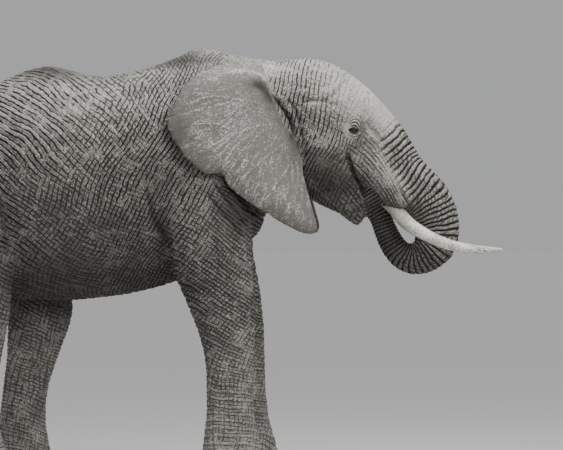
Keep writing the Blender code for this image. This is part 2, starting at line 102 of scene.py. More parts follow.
# The middle of the trunk from the forehead round its bend to the mouth: ahead, up, radius.
TRUNK_LINE = [
    (1.02, 2.56, 0.27),
    (1.235, 2.31, 0.262),
    (1.375, 2.135, 0.235),
    (1.505, 2.03, 0.20),
    (1.61, 1.94, 0.186),
    (1.675, 1.82, 0.177),
    (1.698, 1.70, 0.165),
    (1.680, 1.60, 0.152),
    (1.615, 1.535, 0.140),
    (1.52, 1.500, 0.120),
    (1.43, 1.535, 0.107),
    (1.37, 1.61, 0.100),
    (1.325, 1.70, 0.095),
    (1.285, 1.80, 0.088),
    (1.235, 1.885, 0.082),
    (1.190, 1.960, 0.074),
]
TRUNK_NODES = ["trunk_base", "trunk_upper", "trunk_lower", "trunk_curl", "trunk_tip"]
# Rings lie this far apart at the top of the trunk, and draw closer by this much for each metre down it.
RING_SPACING = 0.062
RING_CLOSING = 0.40
# The rings stop at a line down the face, behind which slanting folds run to the tusk:
# ahead and up at each end.
RINGS_END = [(1.171, 2.494), (1.511, 1.851)]

# Creases and ridges drawn on both sides of the animal, as width, depth and points ahead and up. A ridge has
# a negative depth. Those of the ears keep to the ears, and the others keep off them.
SKIN_STROKES = {
    "mouth": (0.017, 0.034, [(1.041, 2.292), (1.063, 2.198), (1.099, 2.104), (1.142, 2.003), (1.164, 1.93)]),
    "mouth_line": (
        0.007, 0.030, [(1.034, 2.285), (1.075, 2.19), (1.092, 2.10), (1.135, 2.01), (1.168, 1.91)]
    ),
    "eye_front": (0.016, 0.018, [(1.18, 2.51), (1.20, 2.455), (1.25, 2.405), (1.31, 2.33)]),
    "below_eye": (
        0.006, 0.020, [(0.947, 2.226), (1.02, 2.27), (1.085, 2.32), (1.128, 2.386), (1.142, 2.42)]
    ),
    "cheek": (0.010, 0.018, [(0.954, 2.176), (1.027, 2.22), (1.077, 2.277), (1.135, 2.314), (1.193, 2.364)]),
    "face": (0.009, 0.009, [(1.218, 2.395), (1.207, 2.314), (1.229, 2.155), (1.28, 2.046), (1.359, 1.945)]),
    "tusk_lobe": (0.011, 0.022, [(1.338, 2.22), (1.41, 2.039), (1.46, 1.93), (1.511, 1.844)]),
    "brow_rear": (0.006, 0.018, [(1.171, 2.668), (1.178, 2.516)]),
    "brow_front": (0.006, 0.018, [(1.205, 2.726), (1.20, 2.523)]),
    "temple_low": (0.014, 0.014, [(0.701, 2.624), (0.803, 2.639), (0.889, 2.632), (0.976, 2.588)]),
    "temple_high": (0.012, 0.012, [(1.056, 2.82), (1.005, 2.755), (0.947, 2.682), (0.86, 2.632)]),
    "ear_furrow": (
        0.015,
        0.038,
        [
            (0.448, 2.74),
            (0.513, 2.668),
            (0.564, 2.603),
            (0.629, 2.494),
            (0.658, 2.379),
            (0.694, 2.234),
            (0.709, 2.111),
        ],
    ),
    "ear_furrow_front": (
        0.010,
        0.022,
        [(0.593, 2.668), (0.658, 2.581), (0.694, 2.473), (0.723, 2.328), (0.745, 2.183)],
    ),
    "leg_fold": (
        0.026,
        0.024,
        [(-0.386, 2.003), (-0.351, 1.804), (-0.311, 1.728), (-0.26, 1.656), (-0.224, 1.569)],
    ),
    "hind_fold": (
        0.026, 0.024, [(-1.50, 2.05), (-1.46, 1.93), (-1.425, 1.80), (-1.40, 1.65), (-1.385, 1.48)]
    ),
    "chest_high": (0.015, 0.030, [(0.137, 2.111), (0.231, 2.003), (0.325, 1.894), (0.398, 1.8)]),
    "chest_middle": (0.013, 0.028, [(0.072, 2.075), (0.159, 1.952), (0.253, 1.844), (0.34, 1.728)]),
    "chest_low": (0.012, 0.024, [(0.022, 2.003), (0.108, 1.887), (0.21, 1.771), (0.311, 1.641)]),
    "lip": (0.010, 0.012, [(1.077, 1.88), (1.099, 1.829), (1.092, 1.771)]),
}
EAR_STROKES = {
    "front_rim": (
        0.010, 0.022, [(0.56, 2.66), (0.625, 2.55), (0.678, 2.436), (0.72, 2.32), (0.76, 2.18), (0.79, 2.05)]
    ),
    "hollow": (
        0.040, 0.014, [(0.33, 2.79), (0.41, 2.75), (0.48, 2.68), (0.55, 2.59), (0.61, 2.50), (0.68, 2.30)]
    ),
    "crest": (0.014, -0.008, [(0.06, 2.80), (0.20, 2.835), (0.34, 2.84), (0.44, 2.80), (0.52, 2.72)]),
    "vein_top": (0.0045, -0.0035, [(0.578, 2.567), (0.34, 2.632), (0.087, 2.668), (-0.123, 2.596)]),
    "vein_top_fork": (0.0045, -0.0025, [(0.34, 2.632), (0.159, 2.762), (0.036, 2.784)]),
    "vein_rear": (0.0045, -0.004, [(0.593, 2.473), (0.376, 2.451), (0.137, 2.35), (-0.08, 2.234)]),
    "vein_rear_fork": (0.0045, -0.003, [(0.268, 2.408), (0.087, 2.473), (-0.166, 2.451)]),
    "vein_low": (0.0045, -0.0035, [(0.629, 2.364), (0.455, 2.234), (0.289, 2.089), (0.137, 2.032)]),
    "vein_low_fork": (0.0045, -0.0025, [(0.376, 2.176), (0.268, 2.22), (0.036, 2.133)]),
    "vein_lobe": (0.0045, -0.003, [(0.672, 2.256), (0.564, 2.089), (0.441, 1.93), (0.34, 1.894)]),
    "vein_front": (0.0045, -0.0025, [(0.701, 2.147), (0.672, 1.988), (0.643, 1.829)]),
}

# The lie of the skin's creases, which run in two crossing families: ahead and up, then for each family the
# angle of its creases from level, how many millimetres lie between them, and how strong they are.
LIES = [
    (1.01, 2.80, 140, 34, 0.3, 70, 34, 0.15),
    (1.10, 2.72, 140, 34, 0.2, 70, 34, 0.15),
    (1.28, 2.60, 130, 34, 0.15, 60, 34, 0.1),
    (-2.12, 2.00, 150, 34, 0.9, 70, 36, 0.5),
    (-1.97, 2.51, 155, 34, 0.9, 75, 36, 0.5),
    (-1.65, 1.21, 160, 32, 0.7, 75, 32, 0.6),
    (-1.63, 0.70, 172, 28, 0.6, 82, 30, 0.5),
    (-1.63, 0.20, 176, 26, 0.55, 86, 28, 0.4),
    (-1.40, 2.58, 147, 36, 1, 60, 40, 0.35),
    (-1.40, 2.08, 143, 34, 1, 58, 36, 0.5),
    (-1.40, 1.64, 138, 32, 1, 62, 36, 0.5),
    (-1.25, 2.83, 172, 30, 0.8, 95, 45, 0.3),
    (-1.25, 2.36, 143, 34, 1, 58, 36, 0.4),
    (-1.18, 2.65, 142, 36, 1, 60, 40, 0.35),
    (-1.03, 2.51, 136, 36, 0.9, 60, 36, 0.4),
    (-1.03, 2.22, 140, 30, 0.7, 58, 30, 0.5),
    (-1.03, 1.79, 140, 28, 0.7, 65, 28, 0.7),
    (-1.03, 1.50, 150, 30, 0.7, 75, 32, 0.6),
    (-1.02, 2.84, 160, 32, 0.8, 90, 45, 0.3),
    (-0.82, 2.69, 124, 38, 0.9, 52, 45, 0.4),
    (-0.82, 1.68, 142, 30, 0.7, 72, 32, 0.7),
    (-0.74, 1.93, 146, 32, 0.6, 72, 32, 0.7),
    (-0.67, 2.51, 128, 36, 0.8, 56, 34, 0.7),
    (-0.60, 2.76, 108, 38, 0.8, 45, 45, 0.4),
    (-0.60, 2.15, 150, 34, 0.6, 66, 32, 1),
    (-0.56, 1.93, 160, 36, 0.6, 76, 36, 1),
    (-0.53, 2.60, 128, 36, 0.8, 50, 34, 0.9),
    (-0.53, 1.68, 170, 34, 0.6, 86, 36, 1),
    (-0.46, 2.36, 150, 34, 0.55, 58, 32, 1),
    (-0.38, 2.81, 100, 32, 0.6, 42, 36, 0.8),
    (-0.38, 2.58, 138, 34, 0.5, 52, 32, 1),
    (-0.38, 2.15, 155, 34, 0.5, 70, 30, 1),
    (-0.20, 2.29, 150, 32, 0.3, 75, 26, 0.9),
    (-0.13, 2.08, 150, 30, 0.3, 70, 24, 0.8),
    (-0.09, 1.57, 140, 26, 0.8, 50, 24, 0.8),
    (-0.02, 1.86, 148, 28, 0.5, 62, 24, 0.9),
    (0.05, 0.95, 160, 26, 0.7, 70, 28, 0.55),
    (0.09, 1.42, 130, 22, 1, 38, 26, 0.7),
    (0.16, 0.70, 172, 26, 0.6, 82, 28, 0.5),
    (0.20, 1.82, 136, 30, 1, 50, 28, 0.3),
    (0.20, 0.34, 176, 26, 0.55, 86, 28, 0.4),
    (0.23, 1.21, 135, 22, 0.9, 35, 26, 0.6),
    (0.34, 1.50, 150, 26, 0.7, 60, 28, 0.6),
    (0.43, 2.83, 160, 34, 0.4, 72, 34, 0.7),
    (0.77, 2.83, 165, 34, 0.4, 92, 34, 1),
    (0.77, 2.36, 178, 34, 0.3, 91, 32, 1),
    (0.85, 2.57, 176, 30, 0.6, 95, 32, 0.8),
    (0.85, 2.00, 150, 22, 0.7, 80, 24, 0.8),
    (0.88, 2.21, 175, 34, 0.3, 92, 32, 1),
    (0.92, 2.78, 150, 34, 0.5, 97, 34, 0.8),
    (1.03, 1.97, 140, 24, 0.7, 65, 26, 0.7),
    (1.15, 2.09, 125, 24, 0.8, 50, 26, 0.4),
    (1.17, 2.69, 140, 34, 0.2, 60, 34, 0.15),
    (1.27, 2.18, 116, 26, 0.9, 40, 30, 0.35),
    (1.37, 2.47, 125, 30, 0.15, 60, 30, 0.15),
    (1.41, 2.00, 118, 24, 0.9, 40, 28, 0.35),
]
# How far a row of that table reaches, and the part of the side view that the table is for.
LIE_REACH = 0.16
LIE_LOW = np.array([-2.4, -0.1])
LIE_HIGH = np.array([1.7, 3.35])
# The skin of the back and belly is rolled out level with the flanks, as round a bend of this radius.
ROLL_RADIUS = 0.42
# The functions that count the creases are polynomials of this degree.
LIE_DEGREE = 9
LIE_POWERS = [
    (i, j) for i in range(LIE_DEGREE + 1) for j in range(LIE_DEGREE + 1) if 0 < i + j <= LIE_DEGREE
]
# They are fitted on a grid of this many places ahead and up, and worked out for this many at a time.
LIE_GRID = (60, 46)
RUN_LENGTH = 50000
# Creases fade out where between this many and this many of them lie in a metre.
CREASES_FADE = (8, 17)
# On the back and belly the second family slants further, by this many creases for each metre from the
# middle line, out to here.
CREASES_SLANT = 14
CREASES_SLANT_END = 0.6

# How far a fold reaches on each side, and a ring of the trunk, as shares of the way to the next.
FOLD_WIDTH = 0.22
RING_WIDTH = 0.40
MINOR_RING_WIDTH = 0.45
# The trunk's skin is netted by creases along it this far apart, which slant by this many in a metre.
TRUNK_NET = 0.036
TRUNK_NET_SLANT = 24
# Strokes fade out where the skin turns away from the side: folded ones sooner than drawn ones.
FOLDED_SIDEWAYS = (0.06, 0.35)
DRAWN_SIDEWAYS = (0.03, 0.25)
# How deep the ripples and the dimples of the ears are.
EAR_RIPPLE = 0.008
EAR_DIMPLE = 0.0015

# The middle of each tusk as seen from the side: ahead, up, radius.
TUSK_LINE = [
    (1.20, 2.055, 0.05),
    (1.388, 1.865, 0.06),
    (1.533, 1.728, 0.057),
    (1.677, 1.648, 0.051),
    (1.822, 1.598, 0.0425),
    (1.967, 1.576, 0.0315),
    (2.147, 1.578, 0.01),
]
# How much thinner ivory is than its solid, all below its upper edge.
TUSK_SLIM = 0.010
# This much of that is gone towards the tip, between these lengths.
TUSK_SLIM_LESS = 0.85
TUSK_SLIM_ENDS = (0.55, 1.0)
# Short and long dents of the ivory: the seed, size and depth of each.
TUSK_DENTS = [(61, 0.05, 0.0016), (62, 0.14, 0.003)]
# The end of the tail's stem: ahead, up, radius.
TAIL_LINE = [(-2.221, 1.45, 0.030), (-2.215, 1.30, 0.025), (-2.205, 1.17, 0.018)]
# Bites out of each ear's rear rim and corners beside them: ahead, up, reach, and the pull ahead and up.
EAR_BITES = [
    (0.119, 2.092, 0.050, 0.024, 0.038),
    (0.032, 2.107, 0.030, -0.006, -0.010),
    (-0.150, 2.310, 0.030, 0.014, 0.012),
    (0.290, 1.975, 0.030, 0.006, 0.010),
    (0.470, 1.835, 0.030, 0.006, 0.010),
]
# Where the ears' veins and streaks start: ahead and up.
EAR_ROOT = (0.62, 2.74)

# Where the skin is made pale, by dust and a painted highlight on the rump, forehead and crown, and where
# shade is painted dark: ahead, up and half sizes.
PALE_PATCHES = [(-1.30, 2.55, 0.45, 0.30), (1.15, 2.62, 0.35, 0.30), (0.62, 2.90, 0.5, 0.10)]
PAINTED_SHADE_PATCHES = [
    (-1.05, 2.86, 0.42, 0.09),
    (-0.15, 2.93, 0.30, 0.06),
    (-0.28, 1.72, 0.07, 0.18),
    (-1.05, 1.35, 0.78, 0.28),
    (0.28, 1.84, 0.21, 0.20),
    (0.95, 2.08, 0.24, 0.22),
    (1.35, 1.62, 0.24, 0.28),
    (-1.62, 1.60, 0.25, 0.25),
]

# How much dust lies where, as a share of full cover, and less than none where the hide is bare. On skin that
# faces up and in the pale patches it is also a painted highlight from above, taken off where the ears face
# up.
DUST_ALL_OVER = -0.26
DUST_ON_EARS = -0.34
DUST_AND_LIGHT_ON_TOP = 0.42
DUST_ON_VEINS = 0.34
DUST_AND_LIGHT_ON_EAR_RIMS = -0.40
DUST_AND_HIGHLIGHT_IN_PATCHES = 0.26
# A drawn crease this deep is painted full dark, as the shade in it, and a vein this high is full pale.
DARK_DEPTH = 0.040
DARK_DEPTH_ON_EAR = 0.020
VEIN_HEIGHT = 0.003

# Where the head's skin runs smooth over the top of each ear.
EAR_TOP = (0.46, 2.93, 0.13, 0.09)
# Where the ears lie in their own shade, below their crest and along the rear rim.
EAR_SHADE = [
    (0.40, 2.75, 0.11, 0.05),
    (0.50, 2.65, 0.13, 0.09),
    (0.59, 2.52, 0.11, 0.13),
    (0.67, 2.34, 0.06, 0.18),
    (-0.16, 2.42, 0.10, 0.16),
]

# The eye's opening: how its front corner dips, half its length, and how far its lids rise and fall.
EYE_DIP = math.radians(-15)
EYE_HALF_LENGTH = 0.030
UPPER_LID = 0.016
LOWER_LID = 0.012
# The folds round the lids: how far out they go, how far apart and high they are, how thick the lid's edge
# rolls, and the way from the eye in which they are fullest. The opening is cut this deep.
LID_REACH = 0.13
LID_FOLDS = 0.024
LID_FOLD_HEIGHT = 0.0065
LID_ROLL = 0.010
LID_RINGS_TURN = math.radians(40)
EYE_DEPTH = 0.024
# The skin's faces round the eyes are divided this many times.
EYE_DIVISIONS = 2
# The way each eye looks, with its y outwards, and how wide and high its cornea stands.
EYE_GAZE = (0.28, 1.0, -0.12)
CORNEA_SHARE = 0.62
CORNEA_RISE = 0.0018
# The lowest end of the tail's hairs, the size of a hair's patch on OFBake, and the height it unwraps round.
TUFT_LOW = 0.845
PATCH_SIZE = 0.003
UNWRAP_HEIGHT = 2.0
# How far the tuft's hairs bulge out to the front and back, and how flat it is from side to side.
TUFT_BULGE = 0.034
TUFT_FLATNESS = 0.62
# The lashes of the upper and lower lid: how high the lid is, how many there are and how long. Then how
# much lashes and bristles droop by their length, and how thick they are from their middle.
LASHES = [(UPPER_LID, 46, 0.048), (-LOWER_LID, 16, 0.022)]
LASH_DROOP = 0.45
LASH_RADIUS = 0.9 * MILLIMETRE
BRISTLE_DROOP = 0.3
BRISTLE_RADIUS = 0.7 * MILLIMETRE
# Sparse bristles stand here: ahead, up, half sizes and how many.
BRISTLE_PATCHES = [
    (1.02, 1.92, 0.16, 0.16, 60),
    (0.50, 2.72, 0.08, 0.12, 26),
    (0.95, 2.95, 0.35, 0.10, 50),
    (1.45, 2.35, 0.22, 0.30, 40),
    (-0.10, 2.98, 0.50, 0.12, 40),
    (-1.30, 2.90, 0.45, 0.10, 30),
]
# How far from its middle a nail reaches, how far its face stands out from there, and how low it comes.
NAIL_REACH = 0.075
NAIL_FACE = 0.028
NAIL_LOW = 0.008
# The height at which the lip closes round each tusk, where its folds die out, and how far it
# stands out there.
TUSK_LIP_Z = 1.872
TUSK_LIP = (1.28, 2.03, 0.10, 0.11)
TUSK_LIP_RISE = 0.007

# The stage: the floor, the lamps' names, places, sizes and watts, what they aim at, and how
# strong the sky is.
FLOOR_RADIUS = 150
LAMPS = [("overhead", (0.8, -1.0, 7.0), 4.0, 300), ("front", (5, -8, 5), 4.0, 430)]
LAMPS_AIM = (0.3, 0, 1.6)
SKY_AT_HORIZON = 0.512
SKY_OVERHEAD = 1.15
# The camera stands this far to the right and this high, and sees this width round a place ahead and up.
CAMERA_DISTANCE = 32.0
CAMERA_HEIGHT = 1.9
VIEW_WIDTH = 4.07
VIEW_AHEAD = 0.568
VIEW_UP = 1.75


def linear(hex_colour):
    """A colour given as sRGB hex, in linear light."""
    channels = [int(hex_colour[i : i + 2], 16) / 255 for i in (0, 2, 4)]
    return tuple(c / 12.92 if c <= 0.04045 else ((c + 0.055) / 1.055) ** 2.4 for c in channels)


def opaque(colour):
    return (*colour, 1.0)


class SkinSettings(bpy.types.PropertyGroup):
    voxel: FloatProperty(
        name="Voxel", description="Mesh size the skin is cast at", default=0.0075, unit="LENGTH"
    )
    triangles: IntProperty(name="Triangles", description="Most triangles the skin keeps", default=186000)
    fold_depth: FloatProperty(
        name="Fold depth", description="Depth of the larger folds", default=0.009, unit="LENGTH"
    )
    ring_depth: FloatProperty(
        name="Ring depth", description="Depth of the rings round the trunk", default=0.0065, unit="LENGTH"
    )
    hide: FloatVectorProperty(
        name="Hide", description="Bare skin", subtype="COLOR", size=3, default=linear("64605c")
    )
    dust: FloatVectorProperty(
        name="Dust", description="Dried dust on the skin", subtype="COLOR", size=3, default=linear("d0ccc4")
    )
    # Painted shade: the colour that skin lying in shade is painted towards.
    painted_shade: FloatVectorProperty(
        name="Damp", description="Skin that stays shaded", subtype="COLOR", size=3, default=linear("524e49")
    )
    # Painted shade: the colour of the shadow in a crease, towards which creases, drawn grooves and eye rims
    # are darkened.
    crease: FloatVectorProperty(
        name="Crease", description="Bottom of a crease", subtype="COLOR", size=3, default=linear("1d1c1b")
    )


class EyeSettings(bpy.types.PropertyGroup):
    iris: FloatVectorProperty(
        name="Iris", description="Colour of the iris", subtype="COLOR", size=3, default=linear("3b2513")
    )
    iris_share: FloatProperty(name="Iris size", description="Iris radius by eye radius", default=0.58)
    pupil_share: FloatProperty(name="Pupil size", description="Pupil radius by eye radius", default=0.26)


class TuskSettings(bpy.types.PropertyGroup):
    ivory: FloatVectorProperty(
        name="Ivory", description="Clean ivory", subtype="COLOR", size=3, default=linear("f2eee4")
    )
    stain: FloatVectorProperty(
        name="Stain", description="Sap and mud", subtype="COLOR", size=3, default=linear("554b40")
    )


class NailSettings(bpy.types.PropertyGroup):
    horn: FloatVectorProperty(
        name="Horn", description="Toenail", subtype="COLOR", size=3, default=linear("978d7c")
    )
    mud: FloatVectorProperty(
        name="Mud", description="Mud on the horn", subtype="COLOR", size=3, default=linear("4c4338")
    )
    stand: FloatProperty(
        name="Stand", description="How far the nails stand out of the foot", default=0.004, unit="LENGTH"
    )


class HairSettings(bpy.types.PropertyGroup):
    hair: FloatVectorProperty(
        name="Hair", description="All of its hair", subtype="COLOR", size=3, default=linear("1b1816")
    )
    strand: FloatProperty(
        name="Strand", description="Thickness of a tail hair", default=0.0022, unit="LENGTH"
    )
    strands: IntProperty(name="Strands", description="Hairs in the tail's tuft", default=520)


class ElephantSettings(bpy.types.PropertyGroup):
    skin: PointerProperty(type=SkinSettings)
    eyes: PointerProperty(type=EyeSettings)
    tusks: PointerProperty(type=TuskSettings)
    nails: PointerProperty(type=NailSettings)
    hairs: PointerProperty(type=HairSettings)


# Meshes.


def closed_copy(node):
    """A copy of a node's loose triangles, merged into a closed mesh."""
    piece = bmesh.new()
    piece.from_mesh(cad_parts[node].data)
    bmesh.ops.remove_doubles(piece, verts=piece.verts, dist=0.01 * MILLIMETRE)
    return piece


def take_in(bm, piece):
    """Adds the mesh of a piece to bm, and frees the piece."""
    mesh = bpy.data.meshes.new("piece")
    piece.to_mesh(mesh)
    piece.free()
    bm.from_mesh(mesh)
    bpy.data.meshes.remove(mesh)


def object_from(bm, name):
    mesh = bpy.data.meshes.new(name)
    bm.to_mesh(mesh)
    bm.free()
    made = bpy.data.objects.new(name, mesh)
    bpy.context.scene.collection.objects.link(made)
    return made


def modified(obj, kind, **settings):
    """obj with one modifier applied to its mesh."""
    modifier = obj.modifiers.new(kind.lower(), kind)
    for name, value in settings.items():
        setattr(modifier, name, value)
    graph = bpy.context.evaluated_depsgraph_get()
    mesh = bpy.data.meshes.new_from_object(obj.evaluated_get(graph), depsgraph=graph)
    old = obj.data
    obj.modifiers.clear()
    obj.data = mesh
    mesh.name = obj.name
    bpy.data.meshes.remove(old)
    return obj


def joined(objects, name):
    """One object that holds the meshes of several, which are removed."""
    bm = bmesh.new()
    for obj in objects:
        bm.from_mesh(obj.data)
        bpy.data.objects.remove(obj)
    return object_from(bm, name)


def largest_body(obj):
    """Deletes every closed body of a mesh but the one with the most vertices."""
    bm = bmesh.new()
    bm.from_mesh(obj.data)
    left = set(bm.verts)
    biggest = set()
    while left:
        start = left.pop()
        found = {start}
        front = [start]
        while front:
            near = {edge.other_vert(vert) for vert in front for edge in vert.link_edges} - found
            found |= near
            front = list(near)
        left -= found
        biggest = max(biggest, found, key=len)
    spare = [vert for vert in bm.verts if vert not in biggest]
    bmesh.ops.delete(bm, geom=spare, context="VERTS")
    bm.to_mesh(obj.data)
    bm.free()


def numbers(items, field, width, kind):
    """What each of a mesh's items holds in a field, one row for each item."""
    found = np.empty(len(items) * width, kind)
    items.foreach_get(field, found)
    return found.reshape(-1, width)


def places(mesh):
    return numbers(mesh.vertices, "co", 3, np.float32).astype(float)


def normals(mesh):
    return numbers(mesh.vertex_normals, "vector", 3, np.float32).astype(float)


def edges_of(mesh):
    return numbers(mesh.edges, "vertices", 2, np.int32)


def move_to(mesh, points):
    mesh.vertices.foreach_set("co", points.astype(np.float32).ravel())
    mesh.update()


def spread(values, edges, passes):
    """Values at the vertices, each averaged with its neighbours a number of times."""
    count = np.bincount(edges.ravel(), minlength=len(values))
    for _ in range(passes):
        total = np.bincount(edges[:, 0], values[edges[:, 1]], len(values))
        total += np.bincount(edges[:, 1], values[edges[:, 0]], len(values))
        values = (values + total) / (1 + count)
    return values


# Numbers that vary over the skin.


NOISE_CELLS = 64


def wander(points, seed):
    """Smooth noise between -1 and 1 at points given in noise cells."""
    lattice = np.random.default_rng(seed).uniform(-1, 1, (NOISE_CELLS,) * 3)
    low = np.floor(points).astype(int)
    part = points - low
    part = part * part * part * (part * (part * 6 - 15) + 10)
    total = 0
    for corner in np.ndindex(2, 2, 2):
        index = (low + corner) % NOISE_CELLS
        share = np.prod(np.where(corner, part, 1 - part), axis=1)
        total = total + share * lattice[index[:, 0], index[:, 1], index[:, 2]]
    return total


def ramp(values, low, high):
    """0 below low, 1 above high, and smooth in between."""
    part = np.clip((values - low) / (high - low), 0, 1)
    return part * part * (3 - 2 * part)


def lie_terms(at):
    """The terms of a smooth function of the side view at each point, and how they change ahead and up."""
    half = (LIE_HIGH - LIE_LOW) / 2
    ahead, up = np.clip((at - LIE_LOW) / half - 1, -1.05, 1.05).T
    value = [ahead**i * up**j for i, j in LIE_POWERS]
    along = [i * ahead ** max(i - 1, 0) * up**j / half[0] for i, j in LIE_POWERS]
    upward = [j * ahead**i * up ** max(j - 1, 0) / half[1] for i, j in LIE_POWERS]
    return np.stack(value, axis=1), np.stack(along, axis=1), np.stack(upward, axis=1)


def lie_nearness(at):
    """How near each point of the side view is to each row of the table of lies."""
    away = np.square(at[:, None] - np.array(LIES)[:, :2]).sum(axis=2)
    return np.exp(-away / (2 * LIE_REACH**2)) + 1e-9


def runs(count):
    """The numbers from 0 up to a count, in runs short enough for tables of them to fit in memory."""
    return np.array_split(np.arange(count), 1 + count // RUN_LENGTH)


def crease_count(at, family):
    """Counts a family's creases: a function whose steps follow the angles and spacings of the table."""
    angle, spacing = np.array(LIES)[:, 2 + 3 * family : 4 + 3 * family].T
    angle = np.radians(angle)
    steps = np.stack([np.sin(angle), -np.cos(angle)], axis=1) / (spacing * MILLIMETRE)[:, None]
    sides = [np.linspace(low, high, count) for low, high, count in zip(LIE_LOW, LIE_HIGH, LIE_GRID)]
    ahead, up = np.meshgrid(*sides)
    grid = np.stack([ahead.ravel(), up.ravel()], axis=1)
    near = lie_nearness(grid)
    wanted = near @ steps / near.sum(axis=1)[:, None]
    trust = np.clip(near.sum(axis=1), 0.004, 1)
    _, along, upward = lie_terms(grid)
    changes = np.vstack([along * trust[:, None], upward * trust[:, None]])
    wanted = np.concatenate([wanted[:, 0] * trust, wanted[:, 1] * trust])
    shares = np.linalg.lstsq(changes, wanted, rcond=1e-10)[0]
    found = np.empty(len(at))
    for part in runs(len(at)):
        found[part] = lie_terms(at[part][:, [0, 2]])[0] @ shares
    return found


def rolled_out(at, rise):
    """Points with the back and belly rolled out level with the flanks, from how far the skin faces up."""
    flat = at.copy()
    rise = np.clip(rise, -1, 1)
    flat[:, 2] += ROLL_RADIUS * (np.arcsin(rise) - rise)
    return flat


def steepness(count, points, edges):
    """How fast a count changes over the skin, for each metre."""
    change = np.diff(count[edges], axis=1)[:, 0]
    square = change**2 / np.maximum(np.square(np.diff(points[edges], axis=1)).sum(axis=(1, 2)), 1e-9)
    total = sum(np.bincount(edges[:, end], square, len(points)) for end in (0, 1))
    return np.sqrt(2 * total / np.maximum(np.bincount(edges.ravel(), minlength=len(points)), 1))


def creases(at, rise, edges):
    """The two families' counts, which wander, and their strengths. Where a count stands still they fade."""
    flat = rolled_out(at, rise)
    across = np.abs(at[:, 1])
    first = crease_count(flat, 0) + 0.9 * wander(at / 0.30, 41) + 0.25 * wander(at / 0.11, 42)
    second = crease_count(flat, 1) + 0.9 * wander(at / 0.30, 43) + 0.25 * wander(at / 0.11, 44)
    second += CREASES_SLANT * across * (1 - ramp(across, 0.0, CREASES_SLANT_END))
    strength = np.empty((len(at), 2))
    for part in runs(len(at)):
        near = lie_nearness(at[part][:, [0, 2]])
        strength[part] = near @ np.array(LIES)[:, [4, 7]] / near.sum(axis=1)[:, None]
    for family, count in enumerate((first, second)):
        strength[:, family] *= ramp(spread(steepness(count, at, edges), edges, 3), *CREASES_FADE)
    return first, second, strength


def line_at(count, width):
    """1 on each whole number of a count, falling to 0 this far from it."""
    return 1 - ramp(np.abs(count - np.round(count)), 0, width)


def patch(points, ahead, up, half_ahead, half_up):
    """1 in the middle of an oval patch of the side view, fading out past its edge."""
    reach = ((points[:, 0] - ahead) / half_ahead) ** 2 + ((points[:, 2] - up) / half_up) ** 2
    return 1 - ramp(reach, 0.55, 1.6)


def haze(points, ahead, up, half_ahead, half_up):
    """1 in the middle of an oval patch of the side view, with no edge."""
    return np.exp(-(((points[:, 0] - ahead) / half_ahead) ** 2) - ((points[:, 2] - up) / half_up) ** 2)


def curve_through(rows, steps):
    """A smooth line through rows of numbers, with points in between."""
    table = np.array(rows, float)
    ends = np.vstack([2 * table[0] - table[1], table, 2 * table[-1] - table[-2]])
    found = []
    for a, b, c, d in zip(ends, ends[1:], ends[2:], ends[3:]):
        for t in np.arange(steps) / steps:
            bend = 2 * a - 5 * b + 4 * c - d + t * (3 * (b - c) + d - a)
            found.append(b + 0.5 * t * (c - a + t * bend))
    found.append(table[-1])
    return np.array(found)


def from_line(points, line):
    """The nearest distance from points of the side view to a line, and how far along it that is."""
    best = np.full(len(points), np.inf)
    length = np.zeros(len(points))
    steps = np.linalg.norm(np.diff(line, axis=0), axis=1)
    starts = np.concatenate([[0], np.cumsum(steps)])
    for start, end, size, begun in zip(line, line[1:], steps, starts):
        way = (end - start) / size
        part = np.clip((points - start) @ way, 0, size)
        away = np.linalg.norm(points - start - part[:, None] * way, axis=1)
        nearer = away < best
        best[nearer] = away[nearer]
        length[nearer] = begun + part[nearer]
    return best, length, starts[-1]


def straightened(points, rows):
    """Points in a limb straightened out: how far down it each lies, its y, and how far out of the bend."""
    line = curve_through(rows, 8)
    middle = line[:, :2]
    ways = np.gradient(middle, axis=0)
    ways /= np.linalg.norm(ways, axis=1)[:, None]
    down = np.concatenate([[0], np.cumsum(np.linalg.norm(np.diff(middle, axis=0), axis=1))])
    side = points[:, [0, 2]]
    best = np.full(len(points), np.inf)
    nearest = np.zeros(len(points), int)
    for index, (ahead, up, radius) in enumerate(line):
        away = np.hypot(side[:, 0] - ahead, side[:, 1] - up) / radius
        closer = away < best
        best[closer] = away[closer]
        nearest[closer] = index
    off = side - middle[nearest]
    way = ways[nearest]
    length = down[nearest] + (off * way).sum(axis=1)
    out = -off[:, 0] * way[:, 1] + off[:, 1] * way[:, 0]
    return np.stack([length, points[:, 1], out], axis=1)


# The skin.


def add_tusk_roots(bm):
    """Adds the part of each tusk that is inside the lip, so that the skin closes round it."""
    for node in TUSKS:
        piece = closed_copy(node)
        everything = piece.verts[:] + piece.edges[:] + piece.faces[:]
        lip = Vector((0, 0, TUSK_LIP_Z))
        bmesh.ops.bisect_plane(piece, geom=everything, plane_co=lip, plane_no=(0, 0, -1), clear_outer=True)
        bmesh.ops.holes_fill(piece, edges=[edge for edge in piece.edges if edge.is_boundary])
        take_in(bm, piece)


def cast_core(voxel):
    """The body, head, trunk and legs in one smooth closed mesh."""
    bm = bmesh.new()
    for node in CORE + EYES + sum(NAILS.values(), []):
        take_in(bm, closed_copy(node))
    add_tusk_roots(bm)
    core = object_from(bm, "core")
    modified(core, "REMESH", mode="VOXEL", voxel_size=voxel)
    largest_body(core)
    modified(core, "SMOOTH", factor=0.5, iterations=CORE_SMOOTHINGS)
    return modified(core, "SUBSURF", levels=1, render_levels=1)


def rounded(nodes, name, levels, swell):
    """One smooth object over copies of CAD nodes, a little bigger than they are."""
    bm = bmesh.new()
    for node in nodes:
        take_in(bm, closed_copy(node))
    bmesh.ops.join_triangles(
        bm, faces=bm.faces, angle_face_threshold=math.radians(40), angle_shape_threshold=math.radians(40)
    )
    made = object_from(bm, name)
    modified(made, "SUBSURF", levels=levels, render_levels=levels)
    return modified(made, "DISPLACE", strength=swell, mid_level=0.0)


